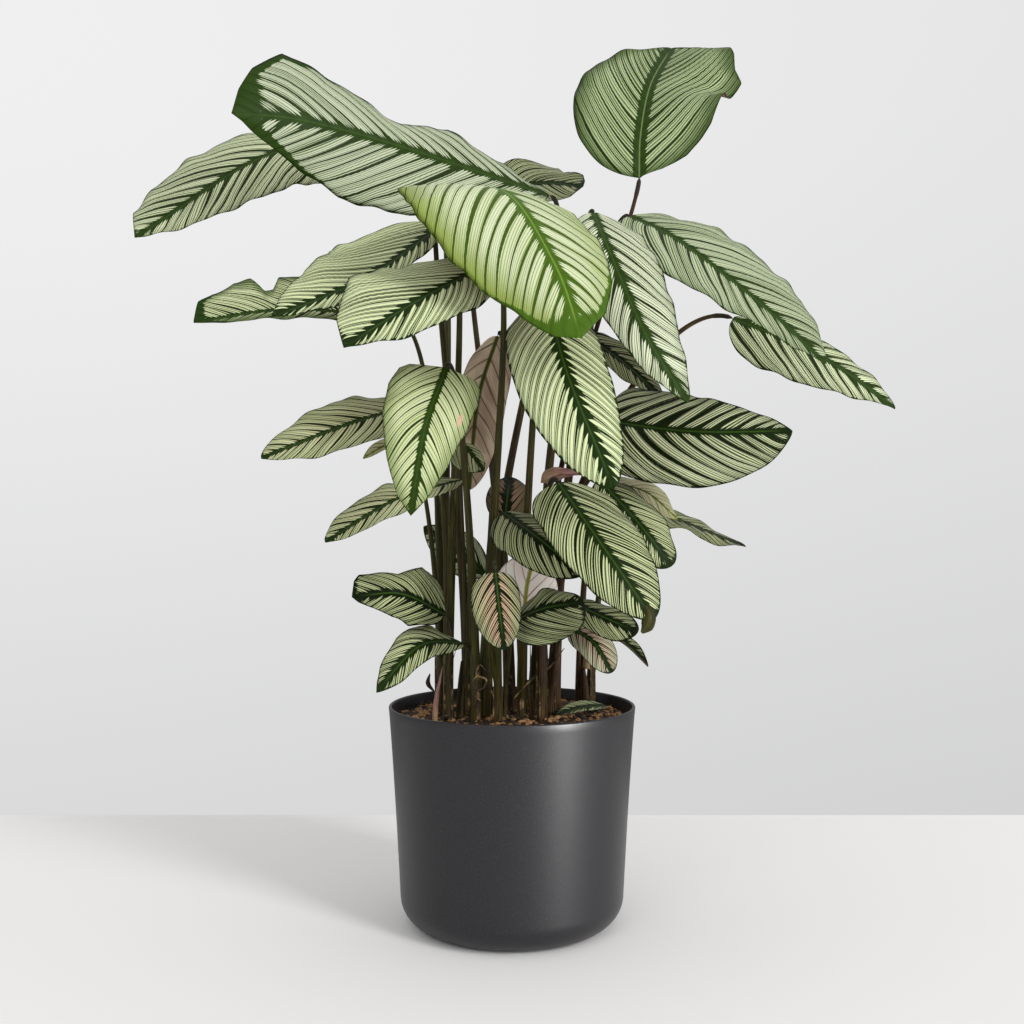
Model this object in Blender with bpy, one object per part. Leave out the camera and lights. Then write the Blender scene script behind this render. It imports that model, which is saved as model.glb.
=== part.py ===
"""Potted calathea: a round pot, its soil, the leaf stalks and the striped leaf blades.

Axes: +Z is up, -Y is the front, and the origin is the middle of the pot's flat base.
A blade is a thin plate grown along its midrib: each cross-section is a pair of arcs that
leave the midrib left and right, and its half-width follows one outline formula.
A stalk is a tapering tube from the soil to the blade's base, and the stalks of one shoot
are grown together at their sheath.
"""
import math

import bmesh
import bpy
import numpy as np
from mathutils import Vector

for old_object in list(bpy.data.objects):
    bpy.data.objects.remove(old_object, do_unlink=True)

MM = 0.001
GAP = 0.0003                    # clearance kept between touching pieces

# Pot and soil (metres)
POT_HEIGHT = 0.220
POT_RIM_RADIUS = 0.125          # outer radius at the rim
POT_TOE_RADIUS = 0.1131         # outer radius just above the rounded toe
POT_TOE_ROUND = 0.030           # radius of the rounding between wall and base
POT_WALL = 0.0032
POT_FLOOR = 0.005
RIM_FLARE = 0.15                # share of the wall's flare that gathers towards the rim
WALL_HEIGHTS = (0.075, 0.120, 0.165, 0.200)     # rings of the wall, above the toe
POT_SEGMENTS = 48
SHARP_EDGE = math.radians(40)   # edges sharper than this aren't shaded smooth
SOIL_TOP = 0.2105
SOIL_EDGE_DROP = 0.002          # the soil lies a little lower along the wall
SOIL_FLAT_RADIUS = 0.108        # where its edge starts to fall

# Blades
BLADE_THICKNESS = 0.001
LARGE_BLADE = (10, 3)           # rows along the midrib, columns on each side of it
SMALL_BLADE = (8, 2)
SMALL_BLADE_WIDTH = 34          # half-width in mm up to which a blade counts as a small one

# Stalks
STALK_SIDES = 1                 # Blender's bevel resolution: 6 sides
STALK_STEPS = 10                # straight runs along each stalk
STALK_TIP_RADIUS = 1.9          # mm, where the stalk meets a large blade
SMALL_STALK_TIP_RADIUS = 1.2    # mm, where it meets a small one
STALK_RISE = 0.45               # how far a stalk keeps upright, as a share of its height
KNEE = 0.045                    # reach of the bend by which a stalk turns into its blade
SMALL_KNEE = 0.018              # the same on a small blade, unless that blade hangs steeply
STEEP = -0.5                    # upward part of a heading below which a blade hangs steeply
HEADING_SAMPLE = 0.04           # share of the midrib that gives the blade's heading at its base
BRANCH_RADIUS = 0.62            # radius of a shoot's further stalks at their foot, of the sheath's
BRANCH_RISE = 8                 # mm by which each further stalk starts higher in the sheath
BRANCH_LEAN = 1.4               # mm by which it starts off-centre, towards its own leaf

COLOURS = {
    "pot": ((0.045, 0.045, 0.050), 0.45, 0.3),
    "soil": ((0.060, 0.035, 0.022), 0.95, 0.0),
    "stalk": ((0.060, 0.085, 0.030), 0.50, 0.0),
    "blade": ((0.380, 0.470, 0.250), 0.45, 0.0),
    "blade_back": ((0.330, 0.240, 0.220), 0.55, 0.0),
}


def leaf(spine, halves, face, face_tip, fold=(5, 5), curl=(-15, -15), widest=(0.42, 0.42),
         blunt=(0.65, 0.65), heel=2.3, wave=(0, 0, 1, 0), edges=(None, None), knee=None):
    """One blade. spine: points along the midrib from base to tip, in mm. halves: the half-widths
    left and right of the midrib, in mm. face, face_tip: where the upper side looks at the base
    and at the tip. fold, curl: the angles in degrees at which each half leaves the midrib and
    how far it turns on its way out. widest: where along the midrib each half is widest.
    blunt: the power that shapes each half's tip, low for a blunt one. heel: the power that shapes
    the base. wave: (left mm, right mm, waves along the blade, phase in turns). edges: for a half
    with an angular or notched outline, its half-widths at places along the midrib, as
    (share of the length, mm); they replace the outline formula. knee: reach in mm of the bend by
    which the stalk turns into the blade, where it isn't the usual one."""
    return dict(spine=spine, halves=halves, face=face, face_tip=face_tip, fold=fold, curl=curl,
                widest=widest, blunt=blunt, heel=heel, wave=wave, edges=edges, knee=knee)


LEAVES = {
    # the crown
    "leaf_crown_left": leaf(
        spine=[(42, 110, 767), (-118, 50, 803), (-216, 0, 815), (-279, -30, 812)], halves=(74, 82),
        face=(0, -0.7, 0.71), face_tip=(-0.15, -0.98, 0), fold=(0, 5), curl=(-25, -25),
        widest=(0.42, 0.72), blunt=(0.75, 0.5), wave=(0, 4, 2.2, 0.74),
        edges=(((0, 0), (0.05, 30), (0.2, 60), (0.44, 76), (0.6, 76), (0.67, 72), (0.75, 58), (0.84, 43),
                (0.92, 24), (0.97, 7), (1, 0)),
               ((0, 0), (0.02, 14), (0.11, 32), (0.21, 38), (0.27, 46), (0.34, 58), (0.4, 52), (0.49, 37),
                (0.6, 47), (0.72, 60), (0.84, 77), (0.92, 54), (0.97, 28), (1, 0)))),
    "leaf_far_left": leaf(
        spine=[(-103, 200, 827), (-260, 150, 830), (-416, 100, 718)], halves=(66, 74),
        face=(-0.1, -0.7, 0.7), face_tip=(-0.3, -0.9, 0.3), curl=(-20, -25), widest=(0.35, 0.7),
        blunt=(0.9, 0.4),
        edges=(None,
               ((0, 0), (0.1, 50), (0.3, 66), (0.45, 60), (0.55, 66), (0.7, 72), (0.85, 58),
                (0.95, 40), (1, 0)))),
    "leaf_crown_back": leaf(
        spine=[(-38, 200, 779), (27, 210, 807), (84, 190, 799)], halves=(26, 40), face=(0, -0.8, 0.6),
        face_tip=(0.2, -0.8, 0.6), fold=(0, 0), curl=(-10, 0), widest=(0.65, 0.65), blunt=(0.4, 0.4),
        wave=(6, 0, 2.5, 0.1),
        edges=(((0, 0), (0.05, 60), (0.1, 86), (0.15, 84), (0.25, 60), (0.35, 52), (0.5, 47), (0.66, 47),
                (0.72, 32), (0.8, 24), (0.93, 24), (0.98, 14), (1, 0)),
               ((0, 0), (0.1, 20), (0.3, 36), (0.6, 42), (0.85, 38), (0.95, 26), (1, 0)))),
    "leaf_front_arch": leaf(
        spine=[(-71, -30, 728), (-8, -130, 708), (35, -210, 627), (57, -240, 558)], halves=(62, 85),
        face=(0.3, -0.2, 0.93), face_tip=(0, -1, 0.1), fold=(0, 5), curl=(-30, -30), widest=(0.5, 0.4),
        blunt=(0.55, 0.55),
        edges=(((0, 0), (0.015, 44), (0.06, 66), (0.15, 72), (0.3, 66), (0.5, 62), (0.7, 57),
                (0.85, 44), (0.94, 28), (1, 0)),
               ((0, 0), (0.03, 34), (0.1, 62), (0.2, 82), (0.35, 94), (0.5, 90), (0.65, 80),
                (0.78, 64), (0.9, 42), (0.97, 20), (1, 0)))),
    "leaf_top_right": leaf(
        spine=[(135, 50, 770), (138, 65, 820), (153, 105, 887), (184, 165, 952)], halves=(78, 92),
        face=(0, -0.75, 0.6), face_tip=(0, -0.6, 0.8), fold=(12, 12), widest=(0.45, 0.75),
        blunt=(0.65, 0.4), wave=(2, 16, 2, 0.45),
        edges=(None,
               ((0, 0), (0.05, 24), (0.15, 52), (0.3, 74), (0.5, 86), (0.66, 92), (0.72, 97), (0.78, 86),
                (0.86, 80), (0.93, 70), (0.98, 46), (1, 0)))),
    "leaf_right_upper": leaf(
        spine=[(120, 0, 717), (164, -50, 680), (242, -90, 606), (296, -90, 555)], halves=(68, 57),
        face=(0.1, -0.72, 0.69), face_tip=(0.5, -0.75, 0.45), fold=(10, 10), curl=(-30, -20),
        widest=(0.5, 0.25), blunt=(0.5, 1.1)),
    "leaf_far_right": leaf(
        spine=[(234, 50, 621), (295, 30, 592), (345, 20, 561), (397, 20, 522)], halves=(22, 50),
        face=(0.1, -0.85, 0.5), face_tip=(0.4, -0.8, 0.4), widest=(0.6, 0.32), blunt=(0.6, 1.3),
        knee=90),
    "leaf_right_hanging": leaf(
        spine=[(79, -60, 706), (90, -110, 659), (120, -145, 576), (158, -150, 513)], halves=(46, 32),
        face=(0.2, -0.6, 0.8), face_tip=(0.2, -1, 0.3), fold=(5, -5), widest=(0.35, 0.35),
        blunt=(0.8, 0.8)),
    "leaf_centre_hanging": leaf(
        spine=[(34, -100, 614), (49, -170, 536), (88, -190, 436)], halves=(39, 48),
        face=(0, -0.85, 0.5), face_tip=(0, -1, 0.2), fold=(0, 0), curl=(-20, -20), heel=4),
    # the middle storey
    "leaf_left_upper": leaf(
        spine=[(-66, -30, 704), (-130, -75, 645), (-182, -85, 618), (-228, -88, 600)],
        halves=(22, 68), face=(-0.1, -0.6, 0.8), face_tip=(-0.2, -0.8, 0.6), curl=(-20, -20),
        widest=(0.45, 0.45), blunt=(0.9, 0.6),
        edges=(None,
               ((0, 0), (0.04, 40), (0.15, 62), (0.3, 78), (0.5, 84), (0.7, 72), (0.85, 47),
                (0.94, 25), (1, 0)))),
    "leaf_left_front": leaf(
        spine=[(-19, -110, 647), (-81, -170, 602), (-145, -190, 557)], halves=(45, 70),
        face=(-0.1, -0.6, 0.8), face_tip=(-0.3, -0.85, 0.4), curl=(-20, -20), widest=(0.35, 0.6),
        blunt=(1.1, 0.45),
        edges=(None,
               ((0, 0), (0.04, 46), (0.15, 68), (0.3, 80), (0.5, 86), (0.62, 84), (0.72, 78),
                (0.82, 64), (0.93, 36), (1, 0)))),
    "leaf_left_wavy": leaf(
        spine=[(-125, 60, 623), (-232, 30, 627), (-330, 20, 612)], halves=(15, 42),
        face=(-0.1, -0.75, 0.65), face_tip=(-0.2, -0.75, 0.65), fold=(0, 10), curl=(0, 0),
        widest=(0.5, 0.75), blunt=(0.8, 0.4), wave=(0, 7, 3.2, 0.1),
        edges=(None,
               ((0, 0), (0.15, 38), (0.3, 48), (0.5, 52), (0.57, 50), (0.6, 30), (0.64, 24), (0.7, 42),
                (0.79, 49), (0.9, 38), (0.97, 24), (1, 0)))),
    "leaf_right_large": leaf(
        spine=[(86, -20, 508), (171, -70, 493), (265, -90, 492)], halves=(47, 60),
        face=(0.1, -0.9, 0.4), face_tip=(0.3, -0.9, 0.3), widest=(0.2, 0.45), blunt=(0.85, 0.65),
        heel=3),
    "leaf_right_inner": leaf(
        spine=[(78, 12, 596), (118, 8, 566), (154, 2, 530)], halves=(26, 20), face=(0.1, -0.7, 0.7),
        face_tip=(0.1, -0.7, 0.7), curl=(-10, -10), blunt=(0.8, 0.8)),
    "leaf_heart": leaf(
        spine=[(-60, -130, 547), (-76, -180, 486), (-88, -180, 412)], halves=(42, 46),
        face=(0.1, -0.85, 0.5), face_tip=(0, -1, 0.1), curl=(-25, -25), widest=(0.22, 0.3),
        blunt=(0.95, 0.7),
        edges=(((0, 0), (0.02, 30), (0.08, 36), (0.22, 39), (0.45, 36), (0.7, 26), (0.9, 11), (1, 0)),
               ((0, 0), (0.02, 34), (0.06, 42), (0.2, 46), (0.45, 41), (0.7, 29), (0.9, 15), (1, 0)))),
    "leaf_left_mid": leaf(
        spine=[(-99, -40, 520), (-159, -80, 498), (-237, -90, 466)], halves=(30, 38),
        face=(-0.1, -0.75, 0.65), face_tip=(-0.2, -0.8, 0.5), widest=(0.4, 0.35), blunt=(0.9, 0.6)),
    "leaf_pale_back": leaf(
        spine=[(-15, 30, 599), (-35, 15, 531), (-44, 12, 438)], halves=(22, 30), face=(0.2, 0.9, 0.3),
        face_tip=(0.1, 0.95, 0)),
    "leaf_left_lower": leaf(
        spine=[(-49, -50, 447), (-110, -90, 427), (-175, -100, 387)], halves=(20, 30),
        face=(-0.1, -0.4, 0.9), face_tip=(-0.2, -0.75, 0.6), widest=(0.5, 0.5), blunt=(0.9, 0.55)),
    "leaf_inner_tip": leaf(
        spine=[(-49, -52, 482), (-40, -57, 473), (-27, -60, 455)], halves=(10, 24),
        face=(0.1, -0.7, 0.7), face_tip=(0.1, -0.7, 0.7), curl=(-10, -15), blunt=(0.8, 0.8), knee=8),
    "leaf_curled_tip": leaf(
        spine=[(-109, 0, 489), (-129, 0, 483), (-152, 0, 470)], halves=(10, 10), face=(-0.1, -0.7, 0.7),
        face_tip=(-0.1, -0.7, 0.7), fold=(15, 15), curl=(0, 0), blunt=(0.8, 0.8)),
    # the low storey
    "leaf_upright": leaf(
        spine=[(-7, 0, 405), (-5, 0, 428), (-2, 30, 452)], halves=(22, 22), face=(0, -0.95, 0.3),
        face_tip=(0, -0.5, 0.9), blunt=(0.5, 0.5)),
    "leaf_centre_low": leaf(
        spine=[(-8, -55, 415), (26, -120, 390), (64, -130, 358)], halves=(22, 32),
        face=(-0.1, -0.7, 0.7), face_tip=(-0.1, -0.9, 0.4), fold=(0, 0), blunt=(0.6, 0.6)),
    "leaf_low_front": leaf(
        spine=[(43, -110, 443), (81, -180, 383), (121, -200, 324)], halves=(42, 39),
        face=(0.1, -0.8, 0.6), face_tip=(0.15, -0.95, 0.3), fold=(0, 0), curl=(-20, -15),
        widest=(0.45, 0.35), blunt=(0.6, 0.6), heel=4),
    "leaf_low_right": leaf(
        spine=[(86, -50, 447), (121, -100, 402), (148, -110, 365)], halves=(28, 28),
        face=(0.1, -0.75, 0.65), face_tip=(0.2, -0.9, 0.4), fold=(0, 0), widest=(0.5, 0.5),
        blunt=(0.5, 0.5)),
    "leaf_low_pale": leaf(
        spine=[(97, 20, 447), (136, 0, 436), (169, 0, 408)], halves=(22, 22), face=(0.1, -0.6, 0.8),
        face_tip=(0.1, -0.6, 0.8), fold=(0, 0), curl=(-10, -15), blunt=(0.8, 0.8)),
    "leaf_low_grey": leaf(
        spine=[(128, 80, 429), (193, 80, 402), (254, 80, 378)], halves=(22, 26), face=(0.1, -0.35, 0.9),
        face_tip=(0.1, -0.35, 0.9), fold=(0, 0), curl=(0, -10), blunt=(0.8, 0.8), wave=(3, 3, 2, 0.2)),
    "leaf_base_left": leaf(
        spine=[(-65, -50, 315), (-104, -90, 338), (-150, -100, 336)], halves=(26, 32),
        face=(-0.1, -0.85, 0.5), face_tip=(-0.1, -0.85, 0.5), widest=(0.5, 0.45), blunt=(0.4, 0.4),
        edges=(((0, 0), (0.1, 14), (0.25, 22), (0.47, 30), (0.67, 25), (0.87, 12), (0.95, 6), (1, 0)),
               ((0, 0), (0.04, 24), (0.12, 34), (0.22, 38), (0.33, 38), (0.5, 27), (0.58, 22), (0.75, 24),
                (0.92, 23), (0.97, 16), (1, 0)))),
    "leaf_base_left_low": leaf(
        spine=[(-49, -50, 288), (-87, -90, 289), (-126, -110, 248)], halves=(18, 25),
        face=(-0.1, -0.7, 0.7), face_tip=(-0.2, -0.85, 0.4), widest=(0.5, 0.5), blunt=(0.8, 0.55),
        edges=(None,
               ((0, 0), (0.06, 14), (0.2, 23), (0.42, 25), (0.55, 24), (0.68, 19), (0.82, 14),
                (0.93, 7), (1, 0)))),
    "leaf_pink_front": leaf(
        spine=[(-15, -130, 361), (-12, -140, 334), (-7, -140, 291)], halves=(20, 25),
        face=(0, -0.95, 0.3), face_tip=(0, -1, 0.1), blunt=(0.6, 0.6), heel=3),
    "leaf_base_centre": leaf(
        spine=[(0, -100, 313), (30, -120, 327), (67, -110, 332)], halves=(22, 35),
        face=(0.1, -0.8, 0.6), face_tip=(0.1, -0.8, 0.6), fold=(0, 0), widest=(0.5, 0.5),
        blunt=(0.45, 0.45)),
    "leaf_pale_low": leaf(
        spine=[(11, -85, 311), (14, -85, 346), (23, -80, 379)], halves=(34, 33), face=(-0.4, 0.9, 0.1),
        face_tip=(-0.4, 0.9, 0.1), blunt=(0.8, 0.8)),
    "leaf_base_right": leaf(
        spine=[(58, -60, 328), (87, -90, 316), (118, -100, 303)], halves=(18, 20),
        face=(0.1, -0.8, 0.6), face_tip=(0.1, -0.8, 0.6), fold=(0, 0), widest=(0.6, 0.6),
        blunt=(0.5, 0.5)),
    "leaf_pink_right": leaf(
        spine=[(59, -40, 301), (79, -60, 289), (96, -70, 261)], halves=(18, 18), face=(0.1, -0.85, 0.5),
        face_tip=(0.1, -0.85, 0.5), blunt=(0.5, 0.5)),
    "leaf_narrow_right": leaf(
        spine=[(96, 0, 293), (117, 0, 280), (139, 0, 258)], halves=(9, 9), face=(0.1, -0.5, 0.8),
        face_tip=(0.1, -0.5, 0.8), fold=(30, 30), curl=(20, 20), blunt=(0.8, 0.8)),
    "leaf_grey_back": leaf(
        spine=[(-30, 80, 348), (-61, 80, 374), (-96, 80, 400)], halves=(24, 26), face=(-0.1, -0.8, 0.6),
        face_tip=(-0.1, -0.8, 0.6), fold=(0, 0), curl=(-10, -10), blunt=(0.8, 0.8)),
    "leaf_on_soil": leaf(
        spine=[(98, 24, 214), (71, 2, 215.5), (42, -24, 211.7)], halves=(11, 12), face=(0, -0.35, 0.9),
        face_tip=(0, -0.35, 0.9), fold=(10, 10), curl=(0, 0), blunt=(0.8, 0.8)),
}
BACK_VIEW_LEAVES = ("leaf_pale_back", "leaf_pale_low")      # these show their undersides

# Each shoot: where it leaves the soil (mm), the radius of its sheath (mm), and the leaves whose
# stalks it carries, the thickest stalk first.
SHOOTS = {
    "stalks_left_back": ((-72, 10), 6.2, ("leaf_far_left", "leaf_left_wavy", "leaf_curled_tip")),
    "stalks_left": ((-64, -22), 5.1, ("leaf_left_upper", "leaf_left_mid", "leaf_base_left")),
    "stalks_left_inner": ((-46, 5), 4.9, ("leaf_front_arch", "leaf_left_lower", "leaf_inner_tip")),
    "stalks_left_front": ((-36, -36), 5.2, ("leaf_heart", "leaf_base_left_low")),
    "stalks_back_left": ((-30, 32), 5.6, ("leaf_crown_left", "leaf_pale_back", "leaf_grey_back")),
    "stalks_centre_left": ((-26, -8), 5.6, ("leaf_left_front",)),
    "stalks_back": ((-4, 50), 5.0, ("leaf_crown_back",)),
    "stalks_front": ((-14, -42), 4.4, ("leaf_centre_low", "leaf_pink_front", "leaf_base_centre")),
    "stalks_centre": ((0, 14), 4.0, ("leaf_upright",)),
    "stalks_centre_front": ((10, -22), 5.2, ("leaf_centre_hanging", "leaf_pale_low")),
    "stalks_back_right": ((22, 40), 5.6, ("leaf_far_right", "leaf_top_right")),
    "stalks_centre_right": ((24, 8), 5.2, ("leaf_right_hanging", "leaf_right_inner")),
    "stalks_right_front": ((30, -36), 4.8, ("leaf_low_front",)),
    "stalks_right_inner": ((40, 0), 5.4, ("leaf_low_right", "leaf_base_right", "leaf_pink_right")),
    "stalks_right": ((45, 24), 5.4, ("leaf_right_upper", "leaf_right_large")),
    "stalks_far_right": ((72, 56), 4.8, ("leaf_low_pale", "leaf_narrow_right")),
    "stalks_far_right_back": ((84, 66), 4.8, ("leaf_low_grey",)),
}


def unit(vectors):
    """The same directions with length 1."""
    return vectors / np.linalg.norm(vectors, axis=-1, keepdims=True)


def smooth_curve(points, at):
    """Catmull-Rom curve through the points, read at the given fractions of its length."""
    points = np.array(points, float)
    padded = np.vstack([2 * points[0] - points[1], points, 2 * points[-1] - points[-2]])
    s = np.linspace(0, 1, 40, endpoint=False)[:, None]
    runs = []
    for a, b, c, d in zip(padded, padded[1:], padded[2:], padded[3:]):
        runs.append(0.5 * (2 * b + (c - a) * s + (2 * a - 5 * b + 4 * c - d) * s**2
                           + (3 * b - 3 * c + d - a) * s**3))
    fine = np.vstack(runs + [points[-1:]])
    steps = np.linalg.norm(np.diff(fine, axis=0), axis=1)
    along = np.concatenate([[0], np.cumsum(steps)])
    return np.stack([np.interp(at * along[-1], along, fine[:, k]) for k in range(3)], axis=-1)


def half_width(u, widest, blunt, heel):
    """Outline of one half: 0 at base and tip, 1 where it is widest."""
    rear = np.clip((widest - u) / widest, 0, 1)
    front = np.clip((u - widest) / (1 - widest), 0, 1)
    return np.where(u < widest, np.sqrt(1 - rear**heel), (1 - front**2) ** blunt)


def blade_half(shape, side, u):
    """Half-width in mm on one side: from the half's hand-set places, or by the formula."""
    if shape["edges"][side]:
        places, widths = zip(*shape["edges"][side])
        return np.interp(u, places, widths)
    return shape["halves"][side] * half_width(
        u, shape["widest"][side], shape["blunt"][side], shape["heel"])


def blade_grid(shape, u, v):
    """Points of the blade's middle surface: u runs along the midrib, v from -1 to 1 across it."""
    spine = smooth_curve(shape["spine"], u)
    along = unit(np.gradient(spine, axis=0))
    face = unit(np.array(shape["face"], float))
    face_tip = unit(np.array(shape["face_tip"], float))
    facing = face + (face_tip - face) * u[:, None]
    facing = unit(facing - (facing * along).sum(axis=1, keepdims=True) * along)
    across = np.cross(along, facing)
    left_wave, right_wave, count, phase = shape["wave"]
    ripple = np.sin(2 * math.pi * (count * u + phase)) * np.sqrt(np.sin(math.pi * u))
    grid = np.empty((len(u), len(v), 3))
    for column, place in enumerate(v):
        side = 1 if place > 0 else 0
        out = abs(place)
        width = blade_half(shape, side, u)
        turn = math.radians(shape["curl"][side]) * out / 2
        angle = math.radians(shape["fold"][side]) + turn
        reach = width * out * np.sinc(turn / math.pi)
        lift = reach * math.sin(angle) + (left_wave, right_wave)[side] * out**2 * ripple
        offset = reach * math.cos(angle) * (1 if place > 0 else -1)
        grid[:, column] = spine + across * offset[:, None] + facing * lift[:, None]
    return grid * MM


def material(name):
    """A Principled BSDF material with the named colour, roughness and metallic value."""
    known = bpy.data.materials.get(name)
    if known:
        return known
    colour, roughness, metallic = COLOURS[name]
    new = bpy.data.materials.new(name)
    new.use_nodes = True
    shader = new.node_tree.nodes["Principled BSDF"]
    shader.inputs["Base Color"].default_value = (*colour, 1)
    shader.inputs["Roughness"].default_value = roughness
    shader.inputs["Metallic"].default_value = metallic
    return new


def add_object(name, data, material_name):
    """A new object of the scene with the mesh or curve and its material."""
    new = bpy.data.objects.new(name, data)
    bpy.context.scene.collection.objects.link(new)
    data.materials.append(material(material_name))
    return new


def add_blade(name, shape):
    """A thin closed plate: the middle surface, thickened to both sides."""
    rows, columns = SMALL_BLADE if max(shape["halves"]) <= SMALL_BLADE_WIDTH else LARGE_BLADE
    u = 0.5 - 0.5 * np.cos(np.linspace(0, math.pi, rows))
    v = np.linspace(-1, 1, 2 * columns + 1)
    grid = blade_grid(shape, u, v)
    mesh_maker = bmesh.new()
    base = mesh_maker.verts.new(grid[0, columns])
    tip = mesh_maker.verts.new(grid[-1, columns])
    inner = [[mesh_maker.verts.new(point) for point in row] for row in grid[1:-1]]
    for left, right in zip(inner[0], inner[0][1:]):
        mesh_maker.faces.new((base, left, right))
    for near, far in zip(inner, inner[1:]):
        for a, b, c, d in zip(near, near[1:], far[1:], far):
            mesh_maker.faces.new((b, a, d, c))
    for left, right in zip(inner[-1], inner[-1][1:]):
        mesh_maker.faces.new((tip, right, left))
    mesh = bpy.data.meshes.new(name)
    mesh_maker.to_mesh(mesh)
    mesh_maker.free()
    mesh.shade_smooth()
    blade = add_object(name, mesh, "blade_back" if name in BACK_VIEW_LEAVES else "blade")
    plate = blade.modifiers.new("Thickness", "SOLIDIFY")
    plate.thickness = BLADE_THICKNESS
    plate.offset = 0
    return blade


def stalk_curve(name, start, start_radius, shape):
    """A cubic curve with a round section: upright out of the soil, then over into the blade."""
    spine = smooth_curve(shape["spine"], np.array([0, HEADING_SAMPLE])) * MM
    heading = Vector(spine[1] - spine[0]).normalized()
    end = Vector(spine[0]) - heading * (GAP + BLADE_THICKNESS / 2)
    small = max(shape["halves"]) <= SMALL_BLADE_WIDTH
    knee = SMALL_KNEE if small and heading.z > STEEP else KNEE
    knee = shape["knee"] * MM if shape["knee"] else knee
    curve = bpy.data.curves.new(name, "CURVE")
    curve.dimensions = "3D"
    curve.bevel_depth = MM
    curve.bevel_resolution = STALK_SIDES
    curve.use_fill_caps = True
    curve.resolution_u = STALK_STEPS
    spline = curve.splines.new("BEZIER")
    spline.bezier_points.add(1)
    root, top = spline.bezier_points
    for point in (root, top):
        point.handle_left_type = point.handle_right_type = "FREE"
    root.co = start
    root.handle_right = start + Vector((0, 0, STALK_RISE * (spine[0][2] - start.z)))
    root.handle_left = start - Vector((0, 0, KNEE))
    top.co = end
    top.handle_left = end - heading * knee
    top.handle_right = end + heading * knee
    root.radius = start_radius
    top.radius = SMALL_STALK_TIP_RADIUS if small else STALK_TIP_RADIUS
    return curve


def tube(curve):
    """The curve's tube as one closed mesh: its end caps are joined to its wall."""
    guide = bpy.data.objects.new(curve.name, curve)
    bpy.context.scene.collection.objects.link(guide)
    evaluated = guide.evaluated_get(bpy.context.evaluated_depsgraph_get())
    mesh = bpy.data.meshes.new_from_object(evaluated)
    mesh.name = curve.name
    bpy.data.objects.remove(guide, do_unlink=True)
    bpy.data.curves.remove(curve)
    mesh_maker = bmesh.new()
    mesh_maker.from_mesh(mesh)
    bmesh.ops.remove_doubles(mesh_maker, verts=mesh_maker.verts, dist=0.00001)
    mesh_maker.to_mesh(mesh)
    mesh_maker.free()
    return mesh


def add_shoot(name, place, sheath_radius, carried):
    """The stalks of one shoot, grown together at the sheath by unions."""
    foot = Vector((place[0] * MM, place[1] * MM, SOIL_TOP + GAP))
    first = LEAVES[carried[0]]
    shoot = add_object(name, tube(stalk_curve(name, foot, sheath_radius, first)), "stalk")
    for order, leaf_name in enumerate(carried[1:], start=1):
        shape = LEAVES[leaf_name]
        lean = (Vector(shape["spine"][0]) * MM - foot).to_2d().normalized() * BRANCH_LEAN
        start = foot + Vector((lean.x, lean.y, order * BRANCH_RISE)) * MM
        branch_name = f"{name}_branch_{order}"
        curve = stalk_curve(branch_name, start, sheath_radius * BRANCH_RADIUS, shape)
        branch = add_object(branch_name, tube(curve), "stalk")
        branch.hide_render = True
        branch.display_type = "WIRE"
        union = shoot.modifiers.new(f"Union {order}", "BOOLEAN")
        union.operation = "UNION"
        union.object = branch
    return shoot


def turned(name, profile, material_name):
    """A solid of revolution from an open profile of (radius, height) whose ends lie on the axis."""
    mesh_maker = bmesh.new()
    angles = np.linspace(0, 2 * math.pi, POT_SEGMENTS, endpoint=False)
    rings = []
    for radius, height in profile:
        if radius == 0:
            rings.append([mesh_maker.verts.new((0, 0, height))])
            continue
        rings.append([mesh_maker.verts.new((radius * math.cos(a), radius * math.sin(a), height))
                      for a in angles])
    for lower, upper in zip(rings, rings[1:]):
        for k in range(POT_SEGMENTS):
            following = (k + 1) % POT_SEGMENTS
            if len(lower) == 1:
                mesh_maker.faces.new((lower[0], upper[following], upper[k]))
            elif len(upper) == 1:
                mesh_maker.faces.new((lower[k], lower[following], upper[0]))
            else:
                mesh_maker.faces.new((lower[k], lower[following], upper[following], upper[k]))
    mesh = bpy.data.meshes.new(name)
    mesh_maker.to_mesh(mesh)
    mesh_maker.free()
    mesh.shade_smooth()
    mesh.set_sharp_from_angle(angle=SHARP_EDGE)
    return add_object(name, mesh, material_name)


def arc(centre, radius, start, end, steps):
    """Points (radius from the axis, height) on an arc in the turning plane, angles in degrees."""
    angles = np.radians(np.linspace(start, end, steps))
    return [(centre[0] + radius * math.cos(a), centre[1] + radius * math.sin(a)) for a in angles]


def wall_radius(height):
    """Outer radius of the pot's wall, which flares slightly and more so towards the rim."""
    rise = (height - POT_TOE_ROUND) / (POT_HEIGHT - POT_TOE_ROUND)
    flare = (1 - RIM_FLARE) * rise + RIM_FLARE * rise**3
    return POT_TOE_RADIUS + (POT_RIM_RADIUS - POT_TOE_RADIUS) * flare


def pot_profile():
    """Up the outside from the middle of the base, over the rounded rim and down the inside."""
    toe = (POT_TOE_RADIUS - POT_TOE_ROUND, POT_TOE_ROUND)
    rim = (POT_RIM_RADIUS - POT_WALL / 2, POT_HEIGHT - POT_WALL / 2)
    inner_round = POT_TOE_ROUND - POT_WALL
    inner_toe = (toe[0], POT_FLOOR + inner_round)
    profile = [(0, 0)]
    profile += arc(toe, POT_TOE_ROUND, -90, 0, 7)
    profile += [(wall_radius(z), z) for z in WALL_HEIGHTS]
    profile += arc(rim, POT_WALL / 2, 0, 180, 5)
    profile += [(wall_radius(z) - POT_WALL, z) for z in reversed(WALL_HEIGHTS)]
    profile += arc(inner_toe, inner_round, 0, -90, 5)
    return profile + [(0, POT_FLOOR)]


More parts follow.
